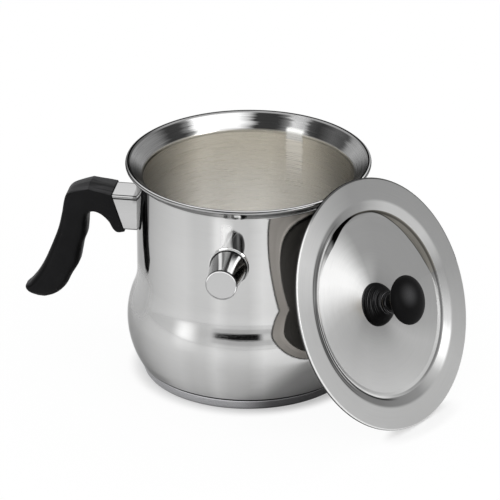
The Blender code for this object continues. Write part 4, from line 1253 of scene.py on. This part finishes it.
def make_floor():
    """A wide pale table that shows white to the camera and keeps the shadow."""
    finish = Surface("table_paper")
    finish.give(Base_Color=(0.93, 0.93, 0.93), Roughness=0.9, Specular_IOR_Level=0.1)
    ray = finish.node("LightPath", {})
    glow = finish.node("Emission", {"Color": (1.0, 1.0, 1.0), "Strength": 1.0})
    _, x, y, _ = finish.place()
    from_pot = (x * x + y * y) ** 0.5 - BASE_RADIUS
    foot = lid_matrix().translation + LID_OUTWARD * LID_RADIUS * math.sin(LID_LEAN)
    out = (x - foot.x) * LID_OUTWARD.x + (y - foot.y) * LID_OUTWARD.y
    along = (x - foot.x) * LID_OUTWARD.y - (y - foot.y) * LID_OUTWARD.x
    from_lid = (out * out * 9.0 + along * along) ** 0.5 - 0.030
    open_floor = from_pot.step(0.0, 0.013) * from_lid.step(-0.004, 0.020)
    share = ray * (0.45 + open_floor * 0.50)
    share = share + ray.other("Is Glossy Ray") * 0.10 + ray.other("Is Transmission Ray") * 0.10
    shader = Value(finish, finish.shader.outputs[0])
    mixed = finish.node("MixShader", {"Fac": share, "Shader": shader, "Shader_001": glow})
    finish.fill(finish.tree.nodes["Material Output"].inputs["Surface"], mixed)
    made = bmesh.new()
    bmesh.ops.create_circle(made, cap_ends=True, segments=64, radius=6.0)
    new_piece("table", mesh_of("table", made), finish.material)


def make_world():
    """A pale room, white to the camera. The steel also mirrors a dark strip and a soft window."""
    world = bpy.data.worlds.new("studio")
    bpy.context.scene.world = world
    world.use_nodes = True
    sky = Finish(world.node_tree)
    x, y, height = sky.parts(sky.node("TexCoord", {}).other("Generated"))
    bearing = y.math("ARCTAN2", x) * (180.0 / math.pi)
    room = sky.grey([
        (0.0, 0.60), (0.50, 0.92), (0.56, 0.90), (0.64, 0.82), (0.80, 0.92), (0.90, 1.05), (1.0, 1.10),
    ], height * 0.5 + 0.5)
    room = sky.node("SeparateColor", {"Color": room})
    front = bearing.band(-170.0, -20.0, 20.0)
    strip = bearing.band(-114.0, -69.0, 4.0) * height.band(0.215, 0.42, 0.010)
    panel = bearing.band(-115.0, -57.0, 4.0) * height.band(0.08, 0.22, 0.03)
    gloom = front * height.band(0.40, 0.62, 0.06)
    window = bearing.band(-151.0, -134.0, 8.0) * height.band(-0.02, 0.30, 0.12)
    shade = room * (1.0 - strip * 0.99) * (1.0 - gloom * 0.45) * (1.0 - panel * 0.24) + window * 0.50
    ray = sky.node("LightPath", {})
    shade = shade + (1.0 - shade) * ray
    sky.fill(sky.tree.nodes["Background"].inputs["Color"], sky.vector(shade, shade, shade))


def make_lamps():
    for name, place, aim, size, power in LAMPS:
        data = bpy.data.lights.new(name, "AREA")
        data.shape = "RECTANGLE"
        data.size, data.size_y = size
        data.energy = power
        lamp = bpy.data.objects.new(name, data)
        lamp.location = place
        lamp.rotation_mode = "QUATERNION"
        lamp.rotation_quaternion = (Vector(aim) - Vector(place)).to_track_quat("-Z", "Y")
        bpy.context.scene.collection.objects.link(lamp)


def make_camera():
    """A camera at its distance from the aim, tilted down, rolled, and turned round the pot."""
    tilt = Matrix.Rotation(math.pi / 2 - CAMERA_ELEVATION, 4, "X")
    roll = Matrix.Rotation(CAMERA_ROLL, 4, "Z")
    away = Matrix.Translation((0.0, 0.0, CAMERA_DISTANCE))
    data = bpy.data.cameras.new("camera")
    data.lens = CAMERA_LENS
    data.sensor_width = 36.0
    data.clip_start = 0.1
    data.clip_end = 50.0
    camera = bpy.data.objects.new("camera", data)
    turn = Matrix.Rotation(CAMERA_AZIMUTH, 4, "Z")
    camera.matrix_world = turn @ Matrix.Translation(CAMERA_AIM) @ tilt @ roll @ away
    bpy.context.scene.collection.objects.link(camera)
    bpy.context.scene.camera = camera


make_camera()
make_world()
make_lamps()
make_floor()
make_shell()
make_milk_pot()
make_foot()
make_filler_bush()
make_whistle()
make_ferrule()
make_grip()
make_lid()
make_knob()
dress_hidden_nodes()

bpy.context.scene.view_settings.view_transform = "Standard"
bpy.context.view_layer.update()
